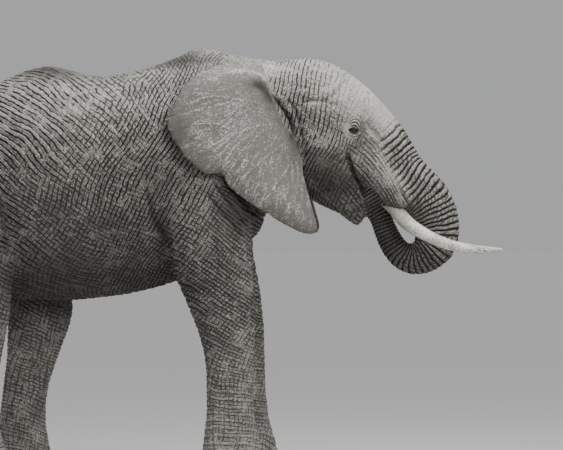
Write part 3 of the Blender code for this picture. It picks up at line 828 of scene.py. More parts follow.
def cast_ear(node):
    """An ear, fattened so that the casting keeps its edge, with the bites out of its rim."""
    made = rounded([node], node + "_cast", 2, SWELL)
    points = places(made.data)
    at = side_view(points)
    for ahead, up, reach, pull_ahead, pull_up in EAR_BITES:
        near = np.exp(-((at[:, 0] - ahead) ** 2 + (at[:, 2] - up) ** 2) / reach**2)
        points[:, 0] += pull_ahead * near
        points[:, 2] += pull_up * near
    move_to(made.data, points)
    return made


def cast_skin(settings):
    """One closed mesh over the body, the tail and the ears."""
    voxel = settings.voxel * 1
    casts = [cast_core(CORE_VOXEL)]
    casts.append(rounded(["tail"], "tail_cast", 2, SWELL))
    casts += [cast_ear(ear) for ear in EARS]
    skin = joined(casts, "skin")
    modified(skin, "REMESH", mode="VOXEL", voxel_size=voxel)
    largest_body(skin)
    return modified(skin, "SMOOTH", factor=0.5, iterations=SKIN_SMOOTHINGS)


def node_of(points):
    """Which of the nodes of flesh is nearest to each point, as its place in their list."""
    bm = bmesh.new()
    owners = []
    for index, node in enumerate(FLESH):
        take_in(bm, closed_copy(node))
        owners += [index] * (len(bm.faces) - len(owners))
    tree = BVHTree.FromBMesh(bm)
    bm.free()
    return np.array([owners[tree.find_nearest(point)[2]] for point in points.tolist()])


def share_of(owners, edges, nodes, passes):
    """How much each vertex belongs to any of the nodes, blended over their borders."""
    wanted = [FLESH.index(node) for node in nodes]
    return spread(np.isin(owners, wanted).astype(float), edges, passes)


def side_view(points):
    """Points measured ahead of the shoulder line."""
    return points - np.array([SHOULDER_X, 0, 0])


def stroked(at, strokes):
    """How deep the strokes go at each point."""
    depth = np.zeros(len(at))
    side = at[:, [0, 2]]
    for width, deep, route in strokes.values():
        line = curve_through(route, 6)
        near = ((side > line.min(axis=0) - 4 * width) & (side < line.max(axis=0) + 4 * width)).all(axis=1)
        away, length, whole = from_line(side[near], line)
        ends = ramp(length, 0, 0.15 * whole) * (1 - ramp(length, 0.85 * whole, whole))
        depth[near] += deep * ends * np.exp(-((away / width) ** 2))
    return depth


def trunk_lines(at):
    """The trunk's straightened places, the count of its rings, and how strongly they show."""
    straight = straightened(at, TRUNK_LINE)
    length = straight[:, 0]
    closer = length + RING_CLOSING * length**2
    rings = closer / RING_SPACING + 0.30 * wander(straight / 0.15, 5) + 0.12 * wander(straight / 0.06, 6)
    (ahead, up), (ahead_low, up_low) = RINGS_END
    beside = (at[:, 0] - ahead) * (up - up_low) + (at[:, 2] - up) * (ahead_low - ahead)
    beside /= math.hypot(up - up_low, ahead_low - ahead)
    before = np.maximum(ramp(beside, -0.09, 0.09), ramp(length, 0.86, 1.02))
    return straight, rings, ramp(length, 0.14, 0.42) * before


def sculpt_folds(skin, settings):
    """Sinks the folds, rings and strokes into the skin, and lifts its veins, crests and lips."""
    mesh = skin.data
    points = places(mesh)
    facing = normals(mesh)
    edges = edges_of(mesh)
    owners = node_of(points)
    at = side_view(points)

    trunk = share_of(owners, edges, TRUNK_NODES, 12)
    ear = share_of(owners, edges, EARS, 3)
    _, rings, front = trunk_lines(at)
    trunk *= front
    body = (1 - ear) * (1 - trunk)
    first, second, strength = creases(at, spread(facing[:, 2], edges, 8), edges)
    broken = 0.6 + 0.4 * wander(at / 0.16, 21)
    slanting = line_at(first / 2, FOLD_WIDTH) * strength[:, 0]
    crossing = line_at(second / 2, FOLD_WIDTH) * strength[:, 1] * broken
    folds = np.maximum(slanting, crossing)
    depth = folds * body * settings.fold_depth
    pillow = line_at(rings, RING_WIDTH) * 0.8 + line_at(rings * 2, MINOR_RING_WIDTH) * 0.2
    depth += pillow * trunk * settings.ring_depth

    sideways = ramp(np.abs(facing[:, 1]), *FOLDED_SIDEWAYS)
    depth += stroked(at, SKIN_STROKES) * (1 - ear) * sideways
    depth += stroked(at, EAR_STROKES) * ear
    rippled = wander(ear_fan(at) * np.array([0.25, 0.35, 0]), 31) * EAR_RIPPLE
    rippled += wander(at / 0.05, 32) * EAR_DIMPLE
    depth += rippled * ear * ramp(EAR_ROOT[0] - at[:, 0], 0, 0.4)
    lip = haze(at, *TUSK_LIP)
    points -= facing * (depth * (1 - lip) - TUSK_LIP_RISE * lip)[:, None]
    points[:, 2] = np.maximum(points[:, 2], MILLIMETRE)
    move_to(mesh, points)


def ear_fan(at):
    """Places on an ear as a fan from its root: turns of 3 degrees, and how far out in units of 0.2 m."""
    ahead = at[:, 0] - EAR_ROOT[0]
    up = at[:, 2] - EAR_ROOT[1]
    turn = np.degrees(np.arctan2(up, -ahead)) / 3
    return np.stack([turn, np.hypot(ahead, up) / 0.2, np.zeros(len(at))], axis=1)


def eye_places(at, side):
    """Points from the middle of an eye: along its opening, and up from it. The other side's lie far off."""
    ahead = at[:, 0] - EYE_AHEAD
    up = at[:, 2] - EYE.z
    along = ahead * math.cos(EYE_DIP) + up * math.sin(EYE_DIP)
    rise = up * math.cos(EYE_DIP) - ahead * math.sin(EYE_DIP)
    away = np.hypot(along, rise) + np.where(at[:, 1] * side > 0, 0, FAR)
    return along, rise, away


def lid_rings(along, rise, away):
    """How far outside the lids' edge each point is, and the rings of folds round them, from -1 to 1."""
    bow = 1 - (along / EYE_HALF_LENGTH) ** 2
    edge = np.where(rise > 0, rise - UPPER_LID * bow, -rise - LOWER_LID * bow)
    edge = np.maximum(edge, np.abs(along) - EYE_HALF_LENGTH)
    rings = np.cos(2 * np.pi * (edge - 0.005) / LID_FOLDS) * ramp(edge, 0.004, 0.012)
    # The rings are full above and in front of the eye, and all but gone behind and below it.
    toward = np.cos(np.arctan2(rise, along) - LID_RINGS_TURN)
    stronger = 0.15 + 0.85 * ramp(toward, -0.6, 0.35)
    return edge, rings * stronger * (1 - ramp(away, 0.045, LID_REACH))


def sculpt_eyes(skin):
    """Opens the skin over each eye and rolls its lids, in rings of folds that die out round it."""
    bm = bmesh.new()
    bm.from_mesh(skin.data)
    for _ in range(EYE_DIVISIONS):
        points = np.array([vert.co for vert in bm.verts])
        close = np.abs(points[:, 0] - EYE.x) + np.abs(points[:, 2] - EYE.z) + (points[:, 0] < 0)
        close = (close < LID_REACH).tolist()
        near = [edge for edge in bm.edges if close[edge.verts[0].index]]
        bmesh.ops.subdivide_edges(bm, edges=near, cuts=1, use_grid_fill=True)
        bm.verts.index_update()
    bmesh.ops.triangulate(bm, faces=[face for face in bm.faces if len(face.verts) > 4])
    bm.to_mesh(skin.data)
    bm.free()

    mesh = skin.data
    points = places(mesh)
    facing = normals(mesh)
    at = side_view(points)
    keep = np.zeros(len(points))
    for side in SIDES.values():
        along, rise, away = eye_places(at, side)
        keep = np.maximum(keep, 1 - ramp(away, LID_REACH * 0.5, LID_REACH * 0.8))
        edge, rings = lid_rings(along, rise, away)
        opened = (1 - ramp(edge, -0.004, 0.001)) * (away < LID_REACH)
        lid = LID_ROLL * np.exp(-(((edge - 0.005) / 0.006) ** 2)) * (edge > -0.002)
        height = lid + rings * LID_FOLD_HEIGHT - EYE_DEPTH * opened
        points += facing * (height * (away < LID_REACH))[:, None]
    move_to(mesh, points)
    thinned = skin.vertex_groups.new(name="thinned")
    for level in range(5):
        chosen = np.nonzero(np.round(4 * (1 - keep)) == level)[0]
        thinned.add(chosen.tolist(), level / 4, "REPLACE")


# Materials.


def feed(tree, node, inputs):
    """Gives sockets of a shader node, by name or number, a value or another node's output each."""
    for socket, value in inputs.items():
        if isinstance(value, bpy.types.NodeSocket):
            tree.links.new(value, node.inputs[socket])
        else:
            node.inputs[socket].default_value = value


def add(tree, kind, inputs=None, **settings):
    """Adds a shader node with its settings and links, and returns its outputs."""
    node = tree.nodes.new("ShaderNode" + kind)
    for name, value in settings.items():
        setattr(node, name, value)
    feed(tree, node, inputs or {})
    return node.outputs


def new_material(name):
    """An empty Principled material. Returns it, its node tree and its shader."""
    material = bpy.data.materials.new(name)
    material.use_nodes = True
    tree = material.node_tree
    return material, tree, tree.nodes["Principled BSDF"]


def crease(tree, count, strength, core, edge):
    """A dark line on each whole number of a count: 1 at its core, 0 beyond its edge, times a strength."""
    nearest = add(tree, "Math", {0: count}, operation="ROUND")[0]
    off = add(tree, "Math", {0: count, 1: nearest}, operation="SUBTRACT")[0]
    away = add(tree, "Math", {0: off}, operation="ABSOLUTE")[0]
    line = add(
        tree, "MapRange", {0: away, 1: core, 2: edge, 3: 1.0, 4: 0.0}, interpolation_type="SMOOTHSTEP"
    )[0]
    return add(tree, "Math", {0: line, 1: strength}, operation="MULTIPLY")[0]


def most(tree, values):
    """The greatest of several sockets."""
    found = values[0]
    for value in values[1:]:
        found = add(tree, "Math", {0: found, 1: value}, operation="MAXIMUM")[0]
    return found


def dress(piece, material):
    """Shades a piece smooth and gives it its material."""
    piece.data.shade_smooth()
    piece.data.materials.append(material)


def hide_material(settings):
    """Elephant hide: thick, dry and matt, with painted shade in and round its creases, and dust on what
    stands proud.
    """
    material, tree, shader = new_material("elephant_hide")
    place = add(tree, "TexCoord")["Object"]
    stored = [add(tree, "Attribute", attribute_name=name) for name in ("lie", "strong", "trunk", "tone")]
    lie, strong, trunk, tone = (add(tree, "SeparateXYZ", {0: kept["Vector"]}) for kept in stored)
    ear = lie[2]

    # Creases jog and fork over 38 mm, and break off over 70 mm.
    jog = add(
        tree, "TexNoise", {"Vector": place, "Scale": 1 / (38 * MILLIMETRE), "Detail": 2.0, "Roughness": 0.55}
    )
    jogs = add(tree, "SeparateXYZ", {0: jog["Color"]})
    fade = add(tree, "TexNoise", {"Vector": place, "Scale": 1 / (70 * MILLIMETRE), "Detail": 2.0})
    fades = add(tree, "SeparateXYZ", {0: fade["Color"]})
    lines = []
    pillows = []
    for family in (0, 1):
        count = add(tree, "Math", {0: jogs[family], 1: 0.6, 2: lie[family]}, operation="MULTIPLY_ADD")[0]
        whole = add(tree, "MapRange", {0: fades[family], 1: 0.36, 2: 0.50, 3: 0.35, 4: 1.0})[0]
        strength = add(tree, "Math", {0: whole, 1: strong[family]}, operation="MULTIPLY")[0]
        lines.append(crease(tree, count, strength, 0.09, 0.22))
        pillows.append(crease(tree, count, strength, 0.0, 0.42))
        half = add(tree, "Math", {0: count, 1: 2.0}, operation="MULTIPLY")[0]
        faint = add(tree, "Math", {0: strong[family], 1: 0.45}, operation="MULTIPLY")[0]
        lines.append(crease(tree, half, faint, 0.08, 0.30))
        pillows.append(crease(tree, half, faint, 0.0, 0.4))

    # The trunk has a ring at each count, a weaker one halfway, and a net of creases along it.
    ring = add(tree, "Math", {0: jogs[2], 1: 0.35, 2: trunk[0]}, operation="MULTIPLY_ADD")[0]
    lines.append(crease(tree, ring, trunk[1], 0.06, 0.20))
    pillows.append(crease(tree, ring, trunk[1], 0.0, 0.45))
    minor = add(tree, "Math", {0: ring, 1: 2.0}, operation="MULTIPLY")[0]
    weaker = add(tree, "Math", {0: trunk[1], 1: 0.6}, operation="MULTIPLY")[0]
    lines.append(crease(tree, minor, weaker, 0.06, 0.28))
    across = add(tree, "Math", {0: jogs[0], 1: 0.7, 2: trunk[2]}, operation="MULTIPLY_ADD")[0]
    crossing = add(tree, "MapRange", {0: fades[2], 1: 0.40, 2: 0.55, 3: 0.1, 4: 0.6})[0]
    crossing = add(tree, "Math", {0: crossing, 1: trunk[1]}, operation="MULTIPLY")[0]
    lines.append(crease(tree, across, crossing, 0.05, 0.18))
    pillows.append(crease(tree, across, crossing, 0.0, 0.4))

    # The finest net is of plates about 9 mm across, which only the ears lack.
    net = add(
        tree,
        "TexVoronoi",
        {"Vector": place, "Scale": 1 / (9 * MILLIMETRE), "Randomness": 0.9},
        feature="DISTANCE_TO_EDGE",
    )
    plate_edge = add(tree, "MapRange", {0: net[0], 1: 0.0, 2: 0.16, 3: 1.0, 4: 0.0})[0]
    bare = add(tree, "Math", {0: 1.0, 1: ear}, operation="SUBTRACT")[0]
    fine = add(tree, "Math", {0: plate_edge, 1: bare}, operation="MULTIPLY")[0]
    line = most(tree, lines)
    pillow = most(tree, pillows)

    # Streaks fan out over the ears from their roots. Dust lies in patches of about 200 mm, blotches of 12 mm
    # and grains of 7 mm, along the streaks, and on what stands proud between the creases. The stored share
    # also holds a painted highlight from above, and beside each crease the skin is painted darker, as shade.
    fan = add(tree, "Attribute", attribute_name="fan")["Vector"]
    streak = add(tree, "TexNoise", {"Vector": fan, "Scale": 1.7, "Detail": 4.0, "Roughness": 0.65})[0]
    scratch = add(tree, "TexNoise", {"Vector": place, "Scale": 1 / (12 * MILLIMETRE), "Detail": 3.0})[0]
    patches = add(
        tree,
        "TexNoise",
        {"Vector": place, "Scale": 1 / (200 * MILLIMETRE), "Detail": 5.0, "Roughness": 0.6},
    )[0]
    grain = add(tree, "TexNoise", {"Vector": place, "Scale": 140.0, "Detail": 3.0, "Roughness": 0.7})[0]
    dusty = add(tree, "Math", {0: patches, 1: 1.1, 2: tone[1]}, operation="MULTIPLY_ADD")[0]
    reach = add(tree, "SeparateXYZ", {0: fan})[1]
    faded = add(tree, "MapRange", {0: reach, 1: 1.0, 2: 2.6, 3: 0.1, 4: 1.0})[0]
    streaky = add(tree, "MapRange", {0: streak, 1: 0.36, 2: 0.62, 3: -0.38, 4: 0.20})[0]
    streaky = add(tree, "Math", {0: streaky, 1: faded}, operation="MULTIPLY")[0]
    dusty = add(tree, "Math", {0: streaky, 1: ear, 2: dusty}, operation="MULTIPLY_ADD")[0]
    mottled = add(tree, "MapRange", {0: scratch, 1: 0.35, 2: 0.65, 3: -0.36, 4: 0.36})[0]
    dusty = add(tree, "Math", {0: dusty, 1: mottled}, operation="ADD")[0]
    grainy = add(tree, "MapRange", {0: grain, 1: 0.3, 2: 0.7, 3: -0.2, 4: 0.2})[0]
    # Painted shade: beside each crease the dust gives way to darker hide; dust lies on the ridges between.
    proud = add(tree, "MapRange", {0: pillow, 1: 0.0, 2: 0.7, 3: 0.22, 4: -0.60})[0]
    proud = add(tree, "Math", {0: proud, 1: bare}, operation="MULTIPLY")[0]
    dusty = add(tree, "Math", {0: dusty, 1: proud}, operation="ADD")[0]
    dusty = add(tree, "Math", {0: dusty, 1: grainy}, operation="ADD", use_clamp=True)[0]
    colour = add(
        tree, "Mix", {"Factor": dusty, 6: opaque(settings.hide), 7: opaque(settings.dust)}, data_type="RGBA"
    )[2]
    # Painted shade: shaded patches, skin facing down and the ears' shade turn towards the painted shade
    # colour.
    colour = add(tree, "Mix", {"Factor": tone[2], 6: colour, 7: opaque(settings.painted_shade)}, data_type="RGBA")[2]
    # Painted shade: the creases, the plates' edges, a broad band round each crease, and the drawn grooves
    # and eye rims darken towards the crease colour.
    soft = add(tree, "Math", {0: fine, 1: 0.42}, operation="MULTIPLY")[0]
    hard = add(tree, "Math", {0: line, 1: 0.98}, operation="MULTIPLY")[0]
    wide = add(tree, "Math", {0: pillow, 1: 0.35}, operation="MULTIPLY")[0]
    dark = most(tree, [hard, soft, wide, tone[0]])
    colour = add(tree, "Mix", {"Factor": dark, 6: colour, 7: opaque(settings.crease)}, data_type="RGBA")[2]
    # What lies in a crease catches no sheen.
    sheen = add(tree, "MapRange", {0: dark, 1: 0.1, 2: 0.8, 3: 0.4, 4: 0.05})[0]

    # The skin sinks into its creases and its net, and is rough with grains and blotches.
    height = add(tree, "Math", {0: pillow, 1: -1.0}, operation="MULTIPLY")[0]
    height = add(tree, "Math", {0: fine, 1: -0.16, 2: height}, operation="MULTIPLY_ADD")[0]
    height = add(tree, "Math", {0: grain, 1: 0.14, 2: height}, operation="MULTIPLY_ADD")[0]
    height = add(tree, "Math", {0: scratch, 1: 0.35, 2: height}, operation="MULTIPLY_ADD")[0]
    bump = add(tree, "Bump", {"Height": height, "Strength": 1.0, "Distance": 12 * MILLIMETRE})[0]
    feed(
        tree, shader, {"Base Color": colour, "Roughness": 0.74, "Specular IOR Level": sheen, "Normal": bump}
    )
    return material


def store(mesh, name, values):
    """Keeps numbers or vectors at the vertices as an attribute that a material reads."""
    kind = "FLOAT" if values.ndim == 1 else "FLOAT_VECTOR"
    attribute = mesh.attributes.new(name, kind, "POINT")
    attribute.data.foreach_set("value" if values.ndim == 1 else "vector", values.astype(np.float32).ravel())


def ear_front(at):
    """1 on most of an ear, and 0 at the front of its top, where the skin of the head runs on over it."""
    return 1 - ramp(at[:, 0], 0.36, 0.50) * ramp(at[:, 2], 2.76, 2.86)


def store_lies(skin):
    """Gives the skin the attributes that its material reads."""
    mesh = skin.data
    points = places(mesh)
    edges = edges_of(mesh)
    owners = node_of(points)
    facing = normals(mesh)
    at = side_view(points)
    ear = share_of(owners, edges, EARS, 2) * ear_front(at)
    straight, rings, front = trunk_lines(at)
    trunk = share_of(owners, edges, TRUNK_NODES, 6) * front
    first, second, strength = creases(at, spread(facing[:, 2], edges, 40), edges)

    rims = np.zeros(len(points))
    calm = np.zeros(len(points))
    for side in SIDES.values():
        along, rise, away = eye_places(at, side)
        edge, rings_round = lid_rings(along, rise, away)
        near = away < LID_REACH
        # Painted shade in the troughs of the folds round each eye; the band along the lids' edge is painted
        # shade of the lids and lashes together with the skin's own wet darkness.
        rims = np.maximum(rims, np.clip(-rings_round * 1.1, 0, 0.9) * near)
        rims = np.maximum(rims, (1 - ramp(edge, 0.003, 0.016)) * 0.88 * near)
        calm = np.maximum(calm, 1 - ramp(away, 0.05, 0.09))
    smooth = haze(at, *EAR_TOP) * ramp(np.abs(at[:, 1]), 0.08, 0.24)
    body = (1 - ear) * (1 - trunk) * (1 - calm) * (1 - smooth)
    store(mesh, "lie", np.stack([first, second, ear], axis=1))
    store(mesh, "strong", np.stack([strength[:, 0] * body, strength[:, 1] * body, body], axis=1))
    around = straight[:, 2] / TRUNK_NET + TRUNK_NET_SLANT * straight[:, 0] + 1.2 * wander(straight / 0.1, 7)
    store(mesh, "trunk", np.stack([rings, trunk, around], axis=1))

    sideways = ramp(np.abs(facing[:, 1]), *DRAWN_SIDEWAYS)
    drawn = stroked(at, SKIN_STROKES) * (1 - ear) * sideways
    drawn_on_ear = stroked(at, EAR_STROKES) * ear
    # Painted shade in the drawn grooves, among them the ears' hollow and furrows, and round the eyes.
    dark = np.clip(drawn / DARK_DEPTH, 0, 0.9)
    dark = np.max([dark, np.clip(drawn_on_ear / DARK_DEPTH_ON_EAR, 0, 0.8), rims], axis=0)
    light = np.clip(-drawn_on_ear / VEIN_HEIGHT, 0, 1)
    wide = share_of(owners, edges, EARS, 14)
    # Dust, and a painted highlight on skin that faces up and in the pale patches; the ears' upward faces
    # lose most of it.
    dusty = DUST_ALL_OVER + DUST_ON_EARS * ear
    dusty = dusty + DUST_AND_LIGHT_ON_TOP * ramp(facing[:, 2], -0.4, 0.9) + DUST_ON_VEINS * light
    dusty += DUST_AND_LIGHT_ON_EAR_RIMS * wide * ramp(facing[:, 2], 0.1, 0.6)
    dusty += DUST_AND_HIGHLIGHT_IN_PATCHES * np.max([haze(at, *spot) for spot in PALE_PATCHES], axis=0)
    # Painted shade: in the listed patches and on skin that faces down, less of it on and round the ears, and
    # on the ears below their crest and along the rear rim.
    shade = np.max([haze(at, *spot) for spot in PAINTED_SHADE_PATCHES], axis=0)
    shade = np.maximum(shade, 0.6 * (1 - ramp(facing[:, 2], -0.9, -0.2))) * (1 - 0.8 * wide)
    shade = np.maximum(shade, 1.1 * ear * np.max([haze(at, *spot) for spot in EAR_SHADE], axis=0))
    # The tone holds the painted crease shade, the dust with its painted highlight, and the painted shade.
    store(mesh, "tone", np.stack([dark, dusty, 0.9 * shade], axis=1))
    store(mesh, "fan", ear_fan(at))


class ELEPHANT_OT_skin(bpy.types.Operator):
    """Casts one skin over all nodes of flesh, folds it and finishes it"""

    bl_idname = "elephant.skin"
    bl_label = "Skin"

    def execute(self, context):
        settings = context.scene.elephant.skin
        skin = cast_skin(settings)
        sculpt_folds(skin, settings)
        sculpt_eyes(skin)
        triangles = sum(len(face.vertices) - 2 for face in skin.data.polygons)
        modified(
            skin,
            "DECIMATE",
            ratio=min(1, settings.triangles / triangles),
            use_collapse_triangulate=True,
            vertex_group="thinned",
        )
        store_lies(skin)
        dress(skin, hide_material(settings))
        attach(skin, "root")
        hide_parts(*FLESH)
        return {"FINISHED"}


def eye_material(settings):
    """A wet eye: a dark brown iris streaked from its pupil, in a darker ball, under a clear hard gloss."""
    material, tree, shader = new_material("eye_cornea_and_iris")
    gaze = add(tree, "Attribute", attribute_name="gaze")["Vector"]
    out = add(tree, "VectorMath", {0: gaze}, operation="LENGTH")[1]
    way = add(tree, "VectorMath", {0: gaze}, operation="NORMALIZE")[0]
    fibre = add(tree, "TexNoise", {"Vector": way, "Scale": 11.0, "Detail": 4.0, "Roughness": 0.7})[0]
    fibres = add(tree, "MapRange", {0: fibre, 1: 0.35, 2: 0.65, 3: 0.35, 4: 1.0})[0]
    dark = opaque(linear("120c08"))
    white = opaque(linear("40352e"))
    iris = add(tree, "Mix", {"Factor": fibres, 6: dark, 7: opaque(settings.iris)}, data_type="RGBA")[2]
    rim = add(
        tree, "MapRange", {0: out, 1: settings.iris_share * 0.8, 2: settings.iris_share, 3: 0.0, 4: 0.8}
    )[0]
    iris = add(tree, "Mix", {"Factor": rim, 6: iris, 7: dark}, data_type="RGBA")[2]
    outside = add(
        tree, "MapRange", {0: out, 1: settings.iris_share, 2: settings.iris_share * 1.12, 3: 0.0, 4: 1.0}
    )[0]
    ball = add(tree, "Mix", {"Factor": outside, 6: iris, 7: white}, data_type="RGBA")[2]
    pupil = add(
        tree, "MapRange", {0: out, 1: settings.pupil_share, 2: settings.pupil_share * 1.15, 3: 1.0, 4: 0.0}
    )[0]
    black = opaque(linear("040404"))
    colour = add(tree, "Mix", {"Factor": pupil, 6: ball, 7: black}, data_type="RGBA")[2]
    feed(tree, shader, {"Base Color": colour, "Roughness": 0.06, "IOR": 1.376})
    feed(tree, shader, {"Coat Weight": 0.3, "Coat Roughness": 0.03})
    return material


class ELEPHANT_OT_eyes(bpy.types.Operator):
    """Sets a glossy eyeball with its cornea, iris and pupil into each socket"""

    bl_idname = "elephant.eyes"
    bl_label = "Eyes"

    def execute(self, context):
        material = eye_material(context.scene.elephant.eyes)
        for name, side in SIDES.items():
            low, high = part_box(f"eye_{name}")
            middle = (low + high) / 2
            gaze = Vector(EYE_GAZE)
            gaze.y *= side
            gaze.normalize()
            bm = bmesh.new()
            bmesh.ops.create_uvsphere(bm, u_segments=48, v_segments=32, radius=EYE_RADIUS)
            bulge = CORNEA_SHARE * EYE_RADIUS
            for vert in bm.verts:
                out = math.hypot(vert.co.x, vert.co.y) / bulge
                if vert.co.z > 0 and out < 1:
                    vert.co.z += CORNEA_RISE * (1 - out**2)
            turn = Vector((0, 0, 1)).rotation_difference(gaze).to_matrix()
            eye = object_from(bm, f"eyeball_{name}")
            points = places(eye.data) / EYE_RADIUS
            store(
                eye.data, "gaze", points * np.array([1, 1, 0]) + np.array([0, 0, FAR]) * (points[:, 2:] < 0)
            )
            move_to(eye.data, points @ np.array(turn).T * EYE_RADIUS + np.array(middle))
            dress(eye, material)
            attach(eye, "root")
            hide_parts(f"eye_{name}")
        return {"FINISHED"}


def ivory_material(settings):
    """Ivory: dense, faintly glossy cream, specked with sap, in fine cracks, and dark at its root."""
    material, tree, shader = new_material("worn_ivory")
    grain = add(tree, "Attribute", attribute_name="grain")["Vector"]
    length = add(tree, "SeparateXYZ", {0: grain})[0]
    # Cracks run the length of the tusk about 7 mm apart.
    drawn = add(tree, "Mapping", {"Vector": grain, "Scale": (7.0, 150.0, 150.0)})[0]
    cracks = add(tree, "TexNoise", {"Vector": drawn, "Scale": 1.0, "Detail": 3.0, "Roughness": 0.5})[0]
    off = add(tree, "Math", {0: cracks, 1: 0.5}, operation="SUBTRACT")[0]
    off = add(tree, "Math", {0: off}, operation="ABSOLUTE")[0]
    crack = add(tree, "MapRange", {0: off, 1: 0.0, 2: 0.022, 3: 1.0, 4: 0.0})[0]
    # Specks of sap are 5 to 15 mm long.
    specked = add(tree, "Mapping", {"Vector": grain, "Scale": (70.0, 130.0, 130.0)})[0]
    speck = add(tree, "TexNoise", {"Vector": specked, "Scale": 1.0, "Detail": 4.0, "Roughness": 0.65})[0]
    spots = add(tree, "MapRange", {0: speck, 1: 0.46, 2: 0.56, 3: 0.0, 4: 0.9})[0]
    cloud = add(tree, "TexNoise", {"Vector": grain, "Scale": 9.0, "Detail": 3.0})[0]
    clouds = add(tree, "MapRange", {0: cloud, 1: 0.4, 2: 0.7, 3: 0.0, 4: 0.3})[0]
    fewer = add(tree, "MapRange", {0: cloud, 1: 0.4, 2: 0.6, 3: 0.45, 4: 1.0})[0]
    spots = add(tree, "Math", {0: spots, 1: fewer}, operation="MULTIPLY")[0]
    root = add(tree, "MapRange", {0: length, 1: 0.22, 2: 0.55, 3: 0.7, 4: 0.0})[0]
    cracked = add(tree, "Math", {0: crack, 1: 0.3}, operation="MULTIPLY")[0]
    stained = most(tree, [spots, clouds, root, cracked])
    colour = add(
        tree,
        "Mix",
        {"Factor": stained, 6: opaque(settings.ivory), 7: opaque(settings.stain)},
        data_type="RGBA",
    )[2]
    rough = add(tree, "MapRange", {0: speck, 1: 0.4, 2: 0.65, 3: 0.34, 4: 0.6})[0]
    height = add(tree, "Math", {0: crack, 1: -0.5}, operation="MULTIPLY")[0]
    height = add(tree, "Math", {0: speck, 1: -0.6, 2: height}, operation="MULTIPLY_ADD")[0]
    bump = add(tree, "Bump", {"Height": height, "Strength": 0.8, "Distance": 1.5 * MILLIMETRE})[0]
    feed(tree, shader, {"Base Color": colour, "Roughness": rough, "IOR": 1.54, "Normal": bump})
    return material


class ELEPHANT_OT_tusks(bpy.types.Operator):
    """Rounds each tusk and gives it worn ivory"""

    bl_idname = "elephant.tusks"
    bl_label = "Tusks"

    def execute(self, context):
        material = ivory_material(context.scene.elephant.tusks)
        for node in TUSKS:
            tusk = rounded([node], node.replace("tusk", "ivory"), 3, SWELL)
            points = places(tusk.data)
            grain = straightened(side_view(points), TUSK_LINE)
            store(tusk.data, "grain", grain)
            slim = TUSK_SLIM * (1 - TUSK_SLIM_LESS * ramp(grain[:, 0], *TUSK_SLIM_ENDS))
            worn = sum(wander(points / size, seed) * depth for seed, size, depth in TUSK_DENTS)
            points += normals(tusk.data) * (worn - slim)[:, None]
            points[:, 2] -= slim
            move_to(tusk.data, points)
            dress(tusk, material)
            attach(tusk, "root")
            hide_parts(node)
        return {"FINISHED"}


def horn_material(settings):
    """Toenail horn: dull, ridged across where it grew, split along its grain, muddy at its worn edge."""
    material, tree, shader = new_material("toenail_horn")
    place = add(tree, "TexCoord")["Object"]
    height = add(tree, "SeparateXYZ", {0: place})[2]
    # Growth ridges lie about 9 mm apart.
    warp = add(tree, "TexNoise", {"Vector": place, "Scale": 14.0, "Detail": 2.0})[0]
    count = add(tree, "Math", {0: height, 1: 1 / (9 * MILLIMETRE)}, operation="MULTIPLY")[0]
    count = add(tree, "Math", {0: warp, 1: 2.4, 2: count}, operation="MULTIPLY_ADD")[0]
    ridge = crease(tree, count, 1.0, 0.0, 0.5)
    drawn = add(tree, "Mapping", {"Vector": place, "Scale": (160.0, 160.0, 14.0)})[0]
    split = add(tree, "TexNoise", {"Vector": drawn, "Scale": 1.0, "Detail": 3.0})[0]
    splits = add(tree, "MapRange", {0: split, 1: 0.56, 2: 0.66, 3: 0.0, 4: 0.7})[0]
    mud = add(tree, "TexNoise", {"Vector": place, "Scale": 40.0, "Detail": 5.0, "Roughness": 0.7})[0]
    low = add(tree, "Math", {0: height, 1: -9.0, 2: 0.95}, operation="MULTIPLY_ADD")[0]
    muddy = add(tree, "Math", {0: mud, 1: low}, operation="MULTIPLY")[0]
    muddy = add(tree, "MapRange", {0: muddy, 1: 0.22, 2: 0.5, 3: 0.0, 4: 0.85})[0]
    banded = add(tree, "Math", {0: ridge, 1: 0.3}, operation="MULTIPLY")[0]
    stained = most(tree, [muddy, banded, splits])
    colour = add(
        tree, "Mix", {"Factor": stained, 6: opaque(settings.horn), 7: opaque(settings.mud)}, data_type="RGBA"
    )[2]
    rough = add(tree, "MapRange", {0: mud, 1: 0.3, 2: 0.7, 3: 0.45, 4: 0.75})[0]
    relief = add(tree, "Math", {0: ridge, 1: -1.0}, operation="MULTIPLY")[0]
    relief = add(tree, "Math", {0: splits, 1: -0.6, 2: relief}, operation="MULTIPLY_ADD")[0]
    bump = add(tree, "Bump", {"Height": relief, "Strength": 0.8, "Distance": 1.5 * MILLIMETRE})[0]
    feed(tree, shader, {"Base Color": colour, "Roughness": rough, "Normal": bump})
    return material


def shape_nail(points, box, foot_box):
    """Squares the lower half of one round nail and flattens its face, among the points of a foot's nails."""
    middle = np.array(box[0] + box[1]) / 2
    out = middle - np.array(foot_box[0] + foot_box[1]) / 2
    out[2] = 0
    out /= np.linalg.norm(out)
    aside = np.array([-out[1], out[0], 0])
    off = points - middle
    near = np.linalg.norm(off, axis=1) < NAIL_REACH
    off = off[near]
    low = np.clip(-off[:, 2] / (middle[2] - box[0].z), 0, 0.8)
    width = off @ aside
    depth = off @ out
    face = NAIL_FACE * np.tanh(np.maximum(depth, 0) / NAIL_FACE)
    points[near] += np.outer(width * (1 / np.sqrt(1 - low**2) - 1), aside)
    points[near] += np.outer(np.where(depth > 0, face - depth, 0), out)


